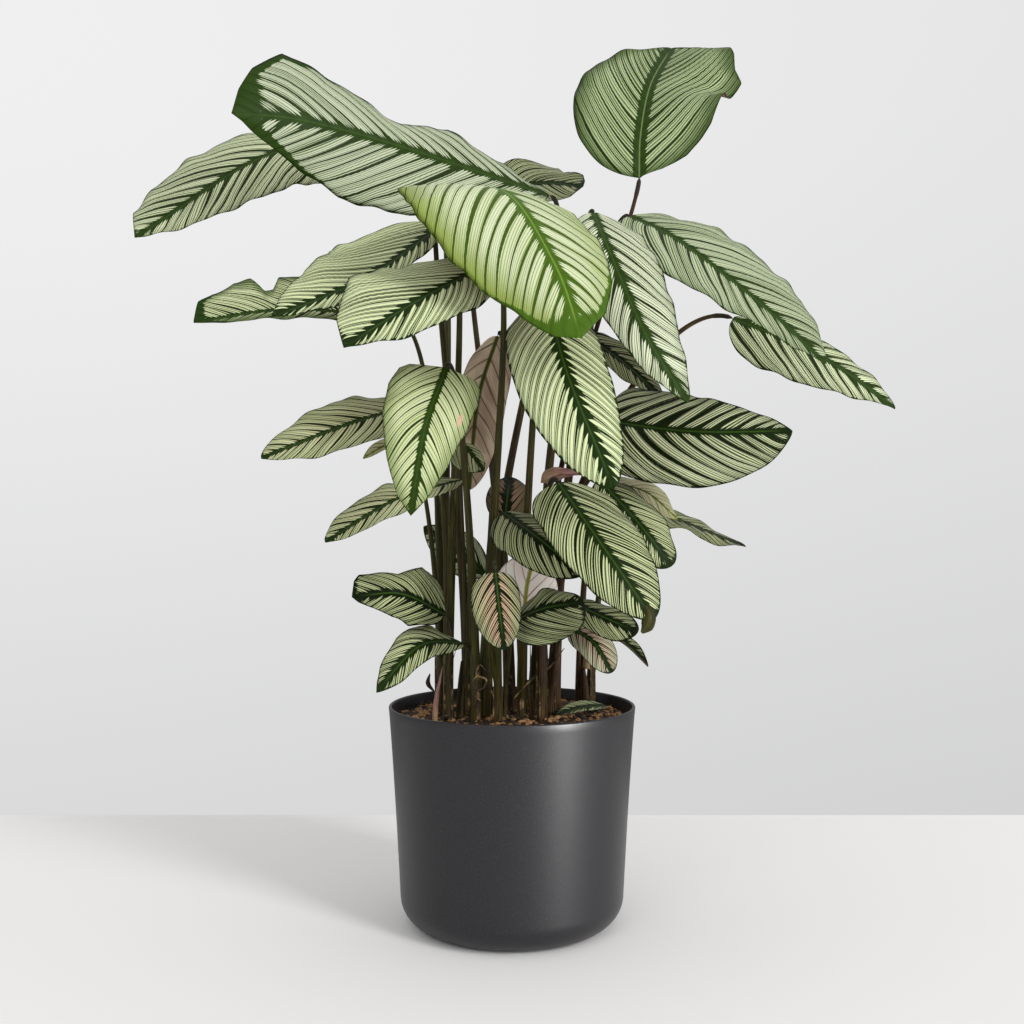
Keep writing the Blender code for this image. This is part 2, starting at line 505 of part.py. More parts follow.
def soil_profile():
    """The pot's inside up to the soil's surface, a clearance smaller all round."""
    inset = POT_WALL + GAP
    inner_round = POT_TOE_ROUND - inset
    toe = (POT_TOE_RADIUS - POT_TOE_ROUND, POT_FLOOR + GAP + inner_round)
    top_edge = SOIL_TOP - SOIL_EDGE_DROP
    profile = [(0, POT_FLOOR + GAP)]
    profile += arc(toe, inner_round, -90, 0, 5)
    profile += [(wall_radius(z) - inset, z) for z in (*WALL_HEIGHTS, top_edge)]
    return profile + [(SOIL_FLAT_RADIUS, SOIL_TOP), (0, SOIL_TOP)]


def main():
    turned("pot", pot_profile(), "pot")
    turned("soil", soil_profile(), "soil")
    for name, shape in LEAVES.items():
        add_blade(name, shape)
    for name, (place, sheath_radius, carried) in SHOOTS.items():
        add_shoot(name, place, sheath_radius, carried)


main()
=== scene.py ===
# %% [markdown]
# # A potted calathea
#
# The real plant is a clump of shoots in a pot of soil. Each leaf is a thin striped blade on a
# slender stalk, and the stalks of one shoot share a sheath at the soil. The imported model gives
# every piece its place; this script remakes each of them as a fine surface with its markings.
#
# Axes: +Z is up, -Y is the front. Lengths are in metres, and in the tables of leaves and shoots
# they are in millimetres, where whole numbers are easier to read.

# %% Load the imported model
import math

import bmesh
import bpy
import numpy as np
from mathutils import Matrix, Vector


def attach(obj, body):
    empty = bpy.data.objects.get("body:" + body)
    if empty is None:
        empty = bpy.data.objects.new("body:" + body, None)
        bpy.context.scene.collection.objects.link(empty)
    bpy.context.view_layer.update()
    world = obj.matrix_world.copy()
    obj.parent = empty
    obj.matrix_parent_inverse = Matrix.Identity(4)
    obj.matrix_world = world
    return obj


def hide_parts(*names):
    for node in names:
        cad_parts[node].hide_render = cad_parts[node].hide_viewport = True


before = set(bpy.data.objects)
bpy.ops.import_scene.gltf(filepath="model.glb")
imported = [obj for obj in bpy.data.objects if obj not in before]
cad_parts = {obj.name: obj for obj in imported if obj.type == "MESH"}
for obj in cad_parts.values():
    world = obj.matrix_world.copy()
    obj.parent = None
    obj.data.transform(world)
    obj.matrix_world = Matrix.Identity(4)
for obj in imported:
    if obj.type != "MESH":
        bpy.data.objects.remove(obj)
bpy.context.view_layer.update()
MM = 0.001

# %% [markdown]
# ## Skins
#
# Pot, soil, stalks and blades are all closed skins: a row of rings, each ring a closed loop of
# points, with the first and the last ring drawn together into a pole. A blade is such a skin too,
# pressed flat. One function that turns an array of rings into a mesh therefore serves them all.
# The faces come from index arithmetic on whole arrays, which is fast and leaves no seam to close.


# %% A mesh from an array of rings
def skin(name, rings, values=None):
    """A closed mesh from rings of shape (n, m, 3), whose first and last rings become poles.
    values: named numbers of shape (n, m), stored on the points for the material to read."""
    n, m = rings.shape[:2]
    points = np.vstack([rings[0].mean(0), rings[1:-1].reshape(-1, 3), rings[-1].mean(0)])
    here = np.arange(m)
    there = np.roll(here, -1)
    starts = 1 + m * np.arange(n - 3)[:, None]
    quads = np.stack([starts + here, starts + there, starts + m + there, starts + m + here], -1)
    last = 1 + m * (n - 3)
    first_fan = np.stack([np.zeros(m, int), 1 + there, 1 + here], -1)
    last_fan = np.stack([np.full(m, len(points) - 1), last + here, last + there], -1)
    corners = np.concatenate([first_fan.ravel(), quads.ravel(), last_fan.ravel()])
    sizes = np.concatenate([np.full(m, 3), np.full(quads.size // 4, 4), np.full(m, 3)])
    mesh = bpy.data.meshes.new(name)
    mesh.vertices.add(len(points))
    mesh.vertices.foreach_set("co", points.ravel())
    mesh.loops.add(len(corners))
    mesh.loops.foreach_set("vertex_index", corners)
    mesh.polygons.add(len(sizes))
    mesh.polygons.foreach_set("loop_start", np.concatenate([[0], np.cumsum(sizes)[:-1]]))
    mesh.update(calc_edges=True)
    for key, table in (values or {}).items():
        column = np.concatenate([[table[0].mean()], table[1:-1].ravel(), [table[-1].mean()]])
        mesh.attributes.new(key, "FLOAT", "POINT").data.foreach_set("value", column)
    mesh.shade_smooth()
    return mesh


def joined(name, meshes):
    """One mesh that holds several, for pieces that are made of many small bits."""
    maker = bmesh.new()
    for mesh in meshes:
        maker.from_mesh(mesh)
        bpy.data.meshes.remove(mesh)
    whole = bpy.data.meshes.new(name)
    maker.to_mesh(whole)
    maker.free()
    return whole


def place(name, mesh, material, slot, *nodes):
    """Puts a finished mesh in the scene: it rides on the body and stands for the CAD nodes."""
    piece = bpy.data.objects.new(name, mesh)
    bpy.context.scene.collection.objects.link(piece)
    mesh.materials.append(material)
    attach(piece, "root")
    if nodes:
        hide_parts(*nodes)
    return piece


def unit(vectors):
    """The same directions with length 1."""
    return vectors / np.maximum(np.linalg.norm(vectors, axis=-1, keepdims=True), 1e-12)


def eased(value, low, high):
    """0 up to low, 1 from high, and a smooth S between them."""
    x = np.clip((value - low) / (high - low), 0, 1)
    return x * x * (3 - 2 * x)


# %% [markdown]
# ## Shader helpers
#
# A material is a small graph of nodes. Writing each node and link out by hand takes many lines, so
# one function adds a node and fills its inputs: an input that is given as a socket is linked, and
# any other value is set. Masks are built from a few arithmetic helpers on top of it.


# %% Nodes and arithmetic between sockets
def feed(tree, socket, value):
    """Links the value to the socket if it is a socket too, or else sets it."""
    if isinstance(value, bpy.types.NodeSocket):
        tree.links.new(value, socket)
    else:
        socket.default_value = value


def node(tree, kind, inputs=None, **settings):
    """A new node with its settings, and its inputs by name or number."""
    new = tree.nodes.new("ShaderNode" + kind)
    for key, value in settings.items():
        setattr(new, key, value)
    for key, value in (inputs or {}).items():
        feed(tree, new.inputs[key], value)
    return new


def calc(tree, operation, *values):
    """The result of one Math node."""
    return node(tree, "Math", dict(enumerate(values)), operation=operation).outputs[0]


def times(tree, a, b):
    return calc(tree, "MULTIPLY", a, b)


def plus(tree, a, b):
    return calc(tree, "ADD", a, b)


def minus(tree, a, b):
    return calc(tree, "SUBTRACT", a, b)


def scaled(tree, value, by, offset):
    """The value times by, plus the offset."""
    return calc(tree, "MULTIPLY_ADD", value, by, offset)


def step(tree, value, low, high):
    """0 up to low, 1 from high, smooth between. With low above high it falls instead."""
    low_first = not (isinstance(low, float) and isinstance(high, float) and low > high)
    ends = {"From Min": low, "From Max": high} if low_first else {"From Min": high, "From Max": low}
    to = {"To Min": 0.0, "To Max": 1.0} if low_first else {"To Min": 1.0, "To Max": 0.0}
    ramp = node(tree, "MapRange", {"Value": value, **ends, **to}, interpolation_type="SMOOTHSTEP")
    return ramp.outputs[0]


def within(tree, value, near, far):
    """1 up to near, 0 from far, smooth between; both may be sockets."""
    return minus(tree, 1.0, step(tree, value, near, far))


def paint(tree, under, over, mask):
    """The colour under with the colour over laid on it by the mask."""
    mix = node(tree, "Mix", {"Factor": mask}, data_type="RGBA")
    feed(tree, mix.inputs[6], under)
    feed(tree, mix.inputs[7], over)
    return mix.outputs[2]


def spot(tree, x, y=0.0, z=0.0):
    """A vector from three numbers."""
    return node(tree, "CombineXYZ", {0: x, 1: y, 2: z}).outputs[0]


def noise(tree, at, scale, detail=2.0, roughness=0.5):
    """A soft noise value around 0.5."""
    inputs = {"Vector": at, "Scale": scale, "Detail": detail, "Roughness": roughness}
    return node(tree, "TexNoise", inputs).outputs[0]


def chance(tree, at):
    """A random value from 0 to 1 that is the same wherever the vector is."""
    return node(tree, "TexWhiteNoise", {"Vector": at}).outputs[0]


def measure(tree, name):
    """A number that the mesh carries on its points."""
    return node(tree, "Attribute", attribute_name=name).outputs["Fac"]


def material(name):
    """A new material's tree and its Principled shader."""
    new = bpy.data.materials.new(name)
    new.use_nodes = True
    return new, new.node_tree, new.node_tree.nodes["Principled BSDF"]


def roughen(tree, shader, height, depth):
    """Lets a height in the graph stand out by depth metres."""
    bump = node(tree, "Bump", {"Height": height, "Distance": depth, "Strength": 1.0})
    feed(tree, shader.inputs["Normal"], bump.outputs[0])


def group(name, inputs, outputs):
    """An empty node group with the given inputs {name: default} and outputs {name: kind}."""
    tree = bpy.data.node_groups.new(name, "ShaderNodeTree")
    for key, default in inputs.items():
        kind = "NodeSocketColor" if isinstance(default, tuple) else "NodeSocketFloat"
        socket = tree.interface.new_socket(key, in_out="INPUT", socket_type=kind)
        socket.default_value = default
    for key, kind in outputs.items():
        tree.interface.new_socket(key, in_out="OUTPUT", socket_type=kind)
    return tree, tree.nodes.new("NodeGroupInput").outputs, tree.nodes.new("NodeGroupOutput").inputs


def use(tree, part, inputs):
    """Places a node group in a tree and returns its outputs."""
    new = tree.nodes.new("ShaderNodeGroup")
    new.node_tree = part
    for key, value in inputs.items():
        feed(tree, new.inputs[key], value)
    return new.outputs


# %% [markdown]
# ## The blades as surfaces
#
# A calathea's blade is an oval sheet hung on a midrib that arches. The midrib is drawn as a smooth
# curve through a few points. To its left and right each cross-section is an arc, and the half-width
# follows one outline formula, with its own numbers for the left and the right half, because these
# leaves are seldom even. The side veins lean forward, and between them the sheet is lightly pleated.
# Each point also stores how far it lies from midrib, margin and tip, and its place in the row of
# veins. The material draws the stripes from these numbers, so they follow the leaf as it bends. One
# could also bend a subdivided plane by hand for each leaf, but then every outline and every stripe
# pattern would have to be drawn on its own.


# %% The midrib's curve and the outline
def smooth_curve(points, at):
    """Catmull-Rom curve through the points, read at the given fractions of its length, and that
    length."""
    points = np.array(points, float)
    padded = np.vstack([2 * points[0] - points[1], points, 2 * points[-1] - points[-2]])
    s = np.linspace(0, 1, 40, endpoint=False)[:, None]
    runs = []
    for a, b, c, d in zip(padded, padded[1:], padded[2:], padded[3:]):
        runs.append(0.5 * (2 * b + (c - a) * s + (2 * a - 5 * b + 4 * c - d) * s**2
                           + (3 * b - 3 * c + d - a) * s**3))
    fine = np.vstack(runs + [points[-1:]])
    steps = np.linalg.norm(np.diff(fine, axis=0), axis=1)
    along = np.concatenate([[0], np.cumsum(steps)])
    curve = np.stack([np.interp(at * along[-1], along, fine[:, k]) for k in range(3)], axis=-1)
    return curve, along[-1]


def half_width(u, widest, blunt, heel):
    """Outline of one half: 0 at base and tip, 1 where it is widest."""
    rear = np.clip((widest - u) / widest, 0, 1)
    front = np.clip((u - widest) / (1 - widest), 0, 1)
    return np.where(u < widest, np.sqrt(1 - rear**heel), (1 - front**2) ** blunt)


def blade_half(shape, side, u):
    """Half-width in mm on one side: from the half's listed places, or by the formula."""
    if shape["edges"][side]:
        places, widths = zip(*shape["edges"][side])
        return np.interp(u, places, widths)
    outline = half_width(u, shape["widest"][side], shape["blunt"][side], shape["heel"])
    return shape["halves"][side] * outline


def leaf(spine, halves, face, finish, face_tip=None, fold=(5, 5), curl=(-15, -15),
         widest=(0.42, 0.42), blunt=(0.65, 0.65), heel=2.3, wave=(0, 0, 1, 0), edges=(None, None),
         knee=None):
    """One blade. spine: points along the midrib from base to tip, in mm. halves: the half-widths
    left and right of the midrib, in mm. face, face_tip: where the upper side looks at the base
    and, where it turns, at the tip. finish: the name of its colouring. fold, curl: the angles in
    degrees at which each half leaves the midrib and how far it turns on its way out. widest:
    where along the midrib each half is widest. blunt: the power that shapes each half's tip, low
    for a blunt one. heel: the power that shapes the base. wave: (left mm, right mm, waves along
    the blade, phase in turns). edges: for a half with an angular or notched outline, its
    half-widths at places along the midrib, as (share of the length, mm); they replace the outline
    formula. knee: reach in mm of the bend by which the stalk turns into the blade, where it isn't
    the usual one."""
    return dict(spine=spine, halves=halves, face=face, face_tip=face_tip or face, finish=finish,
                fold=fold, curl=curl, widest=widest, blunt=blunt, heel=heel, wave=wave, edges=edges,
                knee=knee)


# %% The blades' table
LEAVES = {
    # the crown
    "leaf_crown_left": leaf(
        spine=[(42, 110, 767), (-118, 50, 803), (-216, 0, 815), (-279, -30, 812)], halves=(74, 82),
        face=(0, -0.7, 0.71), face_tip=(-0.15, -0.98, 0), finish="crown", fold=(0, 5), curl=(-25, -25),
        widest=(0.42, 0.72), blunt=(0.75, 0.5), wave=(0, 4, 2.2, 0.74),
        edges=(((0, 0), (0.05, 30), (0.2, 60), (0.44, 76), (0.6, 76), (0.67, 72), (0.75, 58), (0.84, 43),
                (0.92, 24), (0.97, 7), (1, 0)),
               ((0, 0), (0.02, 14), (0.11, 32), (0.21, 38), (0.27, 46), (0.34, 58), (0.4, 52), (0.49, 37),
                (0.6, 47), (0.72, 60), (0.84, 77), (0.92, 54), (0.97, 28), (1, 0)))),
    "leaf_far_left": leaf(
        spine=[(-103, 200, 827), (-260, 150, 830), (-416, 100, 718)], halves=(66, 74),
        face=(-0.1, -0.7, 0.7), face_tip=(-0.3, -0.9, 0.3), finish="grey", curl=(-20, -25),
        widest=(0.35, 0.7), blunt=(0.9, 0.4),
        edges=(None,
               ((0, 0), (0.1, 50), (0.3, 66), (0.45, 60), (0.55, 66), (0.7, 72), (0.85, 58), (0.95, 40),
                (1, 0)))),
    "leaf_crown_back": leaf(
        spine=[(-38, 200, 779), (27, 210, 807), (84, 190, 799)], halves=(26, 40), face=(0, -0.8, 0.6),
        face_tip=(0.2, -0.8, 0.6), finish="dim", fold=(0, 0), curl=(-10, 0), widest=(0.65, 0.65),
        blunt=(0.4, 0.4), wave=(6, 0, 2.5, 0.1),
        edges=(((0, 0), (0.05, 60), (0.1, 86), (0.15, 84), (0.25, 60), (0.35, 52), (0.5, 47), (0.66, 47),
                (0.72, 32), (0.8, 24), (0.93, 24), (0.98, 14), (1, 0)),
               ((0, 0), (0.1, 20), (0.3, 36), (0.6, 42), (0.85, 38), (0.95, 26), (1, 0)))),
    "leaf_front_arch": leaf(
        spine=[(-71, -30, 728), (-8, -130, 708), (35, -210, 627), (57, -240, 558)], halves=(62, 85),
        face=(0.3, -0.2, 0.93), face_tip=(0, -1, 0.1), finish="lime", fold=(0, 5), curl=(-30, -30),
        widest=(0.5, 0.4), blunt=(0.55, 0.55),
        edges=(((0, 0), (0.015, 44), (0.06, 66), (0.15, 72), (0.3, 66), (0.5, 62), (0.7, 57), (0.85, 44),
                (0.94, 28), (1, 0)),
               ((0, 0), (0.03, 34), (0.1, 62), (0.2, 82), (0.35, 94), (0.5, 90), (0.65, 80), (0.78, 64),
                (0.9, 42), (0.97, 20), (1, 0)))),
    "leaf_top_right": leaf(
        spine=[(135, 50, 770), (138, 65, 820), (153, 105, 887), (184, 165, 952)], halves=(78, 92),
        face=(0, -0.75, 0.6), face_tip=(0, -0.6, 0.8), finish="top", fold=(12, 12), widest=(0.45, 0.75),
        blunt=(0.65, 0.4), wave=(2, 16, 2, 0.45),
        edges=(None,
               ((0, 0), (0.05, 24), (0.15, 52), (0.3, 74), (0.5, 86), (0.66, 92), (0.72, 97), (0.78, 86),
                (0.86, 80), (0.93, 70), (0.98, 46), (1, 0)))),
    "leaf_right_upper": leaf(
        spine=[(120, 0, 717), (164, -50, 680), (242, -90, 606), (296, -90, 555)], halves=(68, 57),
        face=(0.1, -0.72, 0.69), face_tip=(0.5, -0.75, 0.45), finish="high", fold=(10, 10), curl=(-30, -20),
        widest=(0.5, 0.25), blunt=(0.5, 1.1)),
    "leaf_far_right": leaf(
        spine=[(234, 50, 621), (295, 30, 592), (345, 20, 561), (397, 20, 522)], halves=(22, 50),
        face=(0.1, -0.85, 0.5), face_tip=(0.4, -0.8, 0.4), finish="grey", widest=(0.6, 0.32),
        blunt=(0.6, 1.3), knee=90),
    "leaf_right_hanging": leaf(
        spine=[(79, -60, 706), (90, -110, 659), (120, -145, 576), (158, -150, 513)], halves=(46, 32),
        face=(0.2, -0.6, 0.8), face_tip=(0.2, -1, 0.3), finish="bright", fold=(5, -5), widest=(0.35, 0.35),
        blunt=(0.8, 0.8)),
    "leaf_centre_hanging": leaf(
        spine=[(34, -100, 614), (49, -170, 536), (88, -190, 436)], halves=(39, 48), face=(0, -0.85, 0.5),
        face_tip=(0, -1, 0.2), finish="clear", fold=(0, 0), curl=(-20, -20), heel=4),
    # the middle storey
    "leaf_left_upper": leaf(
        spine=[(-66, -30, 704), (-130, -75, 645), (-182, -85, 618), (-228, -88, 600)], halves=(22, 68),
        face=(-0.1, -0.6, 0.8), face_tip=(-0.2, -0.8, 0.6), finish="clear", curl=(-20, -20),
        widest=(0.45, 0.45), blunt=(0.9, 0.6),
        edges=(None,
               ((0, 0), (0.04, 40), (0.15, 62), (0.3, 78), (0.5, 84), (0.7, 72), (0.85, 47), (0.94, 25),
                (1, 0)))),
    "leaf_left_front": leaf(
        spine=[(-19, -110, 647), (-81, -170, 602), (-145, -190, 557)], halves=(45, 70),
        face=(-0.1, -0.6, 0.8), face_tip=(-0.3, -0.85, 0.4), finish="clear", curl=(-20, -20),
        widest=(0.35, 0.6), blunt=(1.1, 0.45),
        edges=(None,
               ((0, 0), (0.04, 46), (0.15, 68), (0.3, 80), (0.5, 86), (0.62, 84), (0.72, 78), (0.82, 64),
                (0.93, 36), (1, 0)))),
    "leaf_left_wavy": leaf(
        spine=[(-125, 60, 623), (-232, 30, 627), (-330, 20, 612)], halves=(15, 42),
        face=(-0.1, -0.75, 0.65), face_tip=(-0.2, -0.75, 0.65), finish="wavy", fold=(0, 10), curl=(0, 0),
        widest=(0.5, 0.75), blunt=(0.8, 0.4), wave=(0, 7, 3.2, 0.1),
        edges=(None,
               ((0, 0), (0.15, 38), (0.3, 48), (0.5, 52), (0.57, 50), (0.6, 30), (0.64, 24), (0.7, 42),
                (0.79, 49), (0.9, 38), (0.97, 24), (1, 0)))),
    "leaf_right_large": leaf(
        spine=[(86, -20, 508), (171, -70, 493), (265, -90, 492)], halves=(47, 60), face=(0.1, -0.9, 0.4),
        face_tip=(0.3, -0.9, 0.3), finish="deep", widest=(0.2, 0.45), blunt=(0.85, 0.65), heel=3),
    "leaf_right_inner": leaf(
        spine=[(78, 12, 596), (118, 8, 566), (154, 2, 530)], halves=(26, 20), face=(0.1, -0.7, 0.7),
        finish="shade", curl=(-10, -10), blunt=(0.8, 0.8)),
    "leaf_heart": leaf(
        spine=[(-60, -130, 547), (-76, -180, 486), (-88, -180, 412)], halves=(42, 46),
        face=(0.1, -0.85, 0.5), face_tip=(0, -1, 0.1), finish="fresh", curl=(-25, -25), widest=(0.22, 0.3),
        blunt=(0.95, 0.7),
        edges=(((0, 0), (0.02, 30), (0.08, 36), (0.22, 39), (0.45, 36), (0.7, 26), (0.9, 11), (1, 0)),
               ((0, 0), (0.02, 34), (0.06, 42), (0.2, 46), (0.45, 41), (0.7, 29), (0.9, 15), (1, 0)))),
    "leaf_left_mid": leaf(
        spine=[(-99, -40, 520), (-159, -80, 498), (-237, -90, 466)], halves=(30, 38),
        face=(-0.1, -0.75, 0.65), face_tip=(-0.2, -0.8, 0.5), finish="soft", widest=(0.4, 0.35),
        blunt=(0.9, 0.6)),
    "leaf_pale_back": leaf(
        spine=[(-15, 30, 599), (-35, 15, 531), (-44, 12, 438)], halves=(22, 30), face=(0.2, 0.9, 0.3),
        face_tip=(0.1, 0.95, 0), finish="pale_back"),
    "leaf_left_lower": leaf(
        spine=[(-49, -50, 447), (-110, -90, 427), (-175, -100, 387)], halves=(20, 30),
        face=(-0.1, -0.4, 0.9), face_tip=(-0.2, -0.75, 0.6), finish="soft", widest=(0.5, 0.5),
        blunt=(0.9, 0.55)),
    "leaf_inner_tip": leaf(
        spine=[(-49, -52, 482), (-40, -57, 473), (-27, -60, 455)], halves=(10, 24), face=(0.1, -0.7, 0.7),
        finish="soft", curl=(-10, -15), blunt=(0.8, 0.8), knee=8),
    "leaf_curled_tip": leaf(
        spine=[(-109, 0, 489), (-129, 0, 483), (-152, 0, 470)], halves=(10, 10), face=(-0.1, -0.7, 0.7),
        finish="cream", fold=(15, 15), curl=(0, 0), blunt=(0.8, 0.8)),
    # the low storey
    "leaf_upright": leaf(
        spine=[(-7, 0, 405), (-5, 0, 428), (-2, 30, 452)], halves=(22, 22), face=(0, -0.95, 0.3),
        face_tip=(0, -0.5, 0.9), finish="dusky", blunt=(0.5, 0.5)),
    "leaf_centre_low": leaf(
        spine=[(-8, -55, 415), (26, -120, 390), (64, -130, 358)], halves=(22, 32), face=(-0.1, -0.7, 0.7),
        face_tip=(-0.1, -0.9, 0.4), finish="shade", fold=(0, 0), blunt=(0.6, 0.6)),
    "leaf_low_front": leaf(
        spine=[(43, -110, 443), (81, -180, 383), (121, -200, 324)], halves=(42, 39), face=(0.1, -0.8, 0.6),
        face_tip=(0.15, -0.95, 0.3), finish="dim", fold=(0, 0), curl=(-20, -15), widest=(0.45, 0.35),
        blunt=(0.6, 0.6), heel=4),
    "leaf_low_right": leaf(
        spine=[(86, -50, 447), (121, -100, 402), (148, -110, 365)], halves=(28, 28),
        face=(0.1, -0.75, 0.65), face_tip=(0.2, -0.9, 0.4), finish="dim", fold=(0, 0), widest=(0.5, 0.5),
        blunt=(0.5, 0.5)),
    "leaf_low_pale": leaf(
        spine=[(97, 20, 447), (136, 0, 436), (169, 0, 408)], halves=(22, 22), face=(0.1, -0.6, 0.8),
        finish="cream", fold=(0, 0), curl=(-10, -15), blunt=(0.8, 0.8)),
    "leaf_low_grey": leaf(
        spine=[(128, 80, 429), (193, 80, 402), (254, 80, 378)], halves=(22, 26), face=(0.1, -0.35, 0.9),
        finish="shade", fold=(0, 0), curl=(0, -10), blunt=(0.8, 0.8), wave=(3, 3, 2, 0.2)),
    "leaf_base_left": leaf(
        spine=[(-65, -50, 315), (-104, -90, 338), (-150, -100, 336)], halves=(26, 32),
        face=(-0.1, -0.85, 0.5), finish="shade", widest=(0.5, 0.45), blunt=(0.4, 0.4),
        edges=(((0, 0), (0.1, 14), (0.25, 22), (0.47, 30), (0.67, 25), (0.87, 12), (0.95, 6), (1, 0)),
               ((0, 0), (0.04, 24), (0.12, 34), (0.22, 38), (0.33, 38), (0.5, 27), (0.58, 22), (0.75, 24),
                (0.92, 23), (0.97, 16), (1, 0)))),
    "leaf_base_left_low": leaf(
        spine=[(-49, -50, 288), (-87, -90, 289), (-126, -110, 248)], halves=(18, 25),
        face=(-0.1, -0.7, 0.7), face_tip=(-0.2, -0.85, 0.4), finish="dim", widest=(0.5, 0.5),
        blunt=(0.8, 0.55),
        edges=(None,
               ((0, 0), (0.06, 14), (0.2, 23), (0.42, 25), (0.55, 24), (0.68, 19), (0.82, 14), (0.93, 7),
                (1, 0)))),
    "leaf_pink_front": leaf(
        spine=[(-15, -130, 361), (-12, -140, 334), (-7, -140, 291)], halves=(20, 25), face=(0, -0.95, 0.3),
        face_tip=(0, -1, 0.1), finish="young", blunt=(0.6, 0.6), heel=3),
    "leaf_base_centre": leaf(
        spine=[(0, -100, 313), (30, -120, 327), (67, -110, 332)], halves=(22, 35), face=(0.1, -0.8, 0.6),
        finish="shade", fold=(0, 0), widest=(0.5, 0.5), blunt=(0.45, 0.45)),
    "leaf_pale_low": leaf(
        spine=[(11, -85, 311), (14, -85, 346), (23, -80, 379)], halves=(34, 33), face=(-0.4, 0.9, 0.1),
        finish="cream_back_painted_light", blunt=(0.8, 0.8)),
    "leaf_base_right": leaf(
        spine=[(58, -60, 328), (87, -90, 316), (118, -100, 303)], halves=(18, 20), face=(0.1, -0.8, 0.6),
        finish="shade", fold=(0, 0), widest=(0.6, 0.6), blunt=(0.5, 0.5)),
    "leaf_pink_right": leaf(
        spine=[(59, -40, 301), (79, -60, 289), (96, -70, 261)], halves=(18, 18), face=(0.1, -0.85, 0.5),
        finish="young_painted_light", blunt=(0.5, 0.5)),
    "leaf_narrow_right": leaf(
        spine=[(96, 0, 293), (117, 0, 280), (139, 0, 258)], halves=(9, 9), face=(0.1, -0.5, 0.8),
        finish="shade", fold=(30, 30), curl=(20, 20), blunt=(0.8, 0.8)),
    "leaf_grey_back": leaf(
        spine=[(-30, 80, 348), (-61, 80, 374), (-96, 80, 400)], halves=(24, 26), face=(-0.1, -0.8, 0.6),
        finish="grey", fold=(0, 0), curl=(-10, -10), blunt=(0.8, 0.8)),
    "leaf_on_soil": leaf(
        spine=[(98, 24, 214), (71, 2, 215.5), (42, -24, 211.7)], halves=(11, 12), face=(0, -0.35, 0.9),
        finish="shade", fold=(10, 10), curl=(0, 0), blunt=(0.8, 0.8)),
}
print("blades:", len(LEAVES))


# %% [markdown]
# The surface of one blade is a function of two numbers: u runs from base to tip, and v from the
# left margin, -1, over the midrib, 0, to the right margin, 1. Everything below is worked out for
# the whole grid of u and v at once.

# %% The surface of one blade
LARGE_BLADE = (150, 37)         # rows along a blade, columns across its upper side
SMALL_BLADE = (84, 25)
SMALL_BLADE_WIDTH = 34          # half-width in mm up to which a blade is a small one
VEIN_LEAN = (0.8, 1.45)         # how far the side veins run forward as they go out: base, tip
VEIN_BEND = 0.35                # and how much more so near the margin
PLEAT = 0.35                    # mm, depth of the pleats between the broad stripes
RUFFLE = 1.5                    # mm by which the margin ripples
RUFFLE_LENGTH = 55              # mm from one ripple to the next
BLADE_THICKNESS = (0.3, 0.45)   # mm: at the margin, and what the middle has more
RIB_WIDTH = 1.5                 # mm
RIB_HEIGHT = (1.7, 0.4)         # mm under the blade, at the base and at the tip


def vein_place(u, v, width, length, stripes, seed):
    """Which stripe a point lies on, counted from the base: the distance along the midrib, less
    what the veins have run forward by then, over the stripes' spacing. Three slow sines make the
    spacing uneven, as it grows."""
    out = np.abs(v)
    lean = VEIN_LEAN[0] + (VEIN_LEAN[1] - VEIN_LEAN[0]) * u + VEIN_BEND * out
    place_mm = u * length - width * out * lean
    t = place_mm * stripes / length
    drift = v * 1.3 + seed
    return (t + 0.11 * np.sin(1.9 * t + 2 * drift) + 0.06 * np.sin(3.7 * t - 3 * drift)
            + 0.18 * np.sin(0.6 * t + drift))


# By how many fine lines there are to a stripe: how many stripes even a tiny blade would have, and
# the mm of a blade's length to each further one.
STRIPES = {5.0: (1, 20), 3.0: (4, 18), 2.0: (5, 14)}


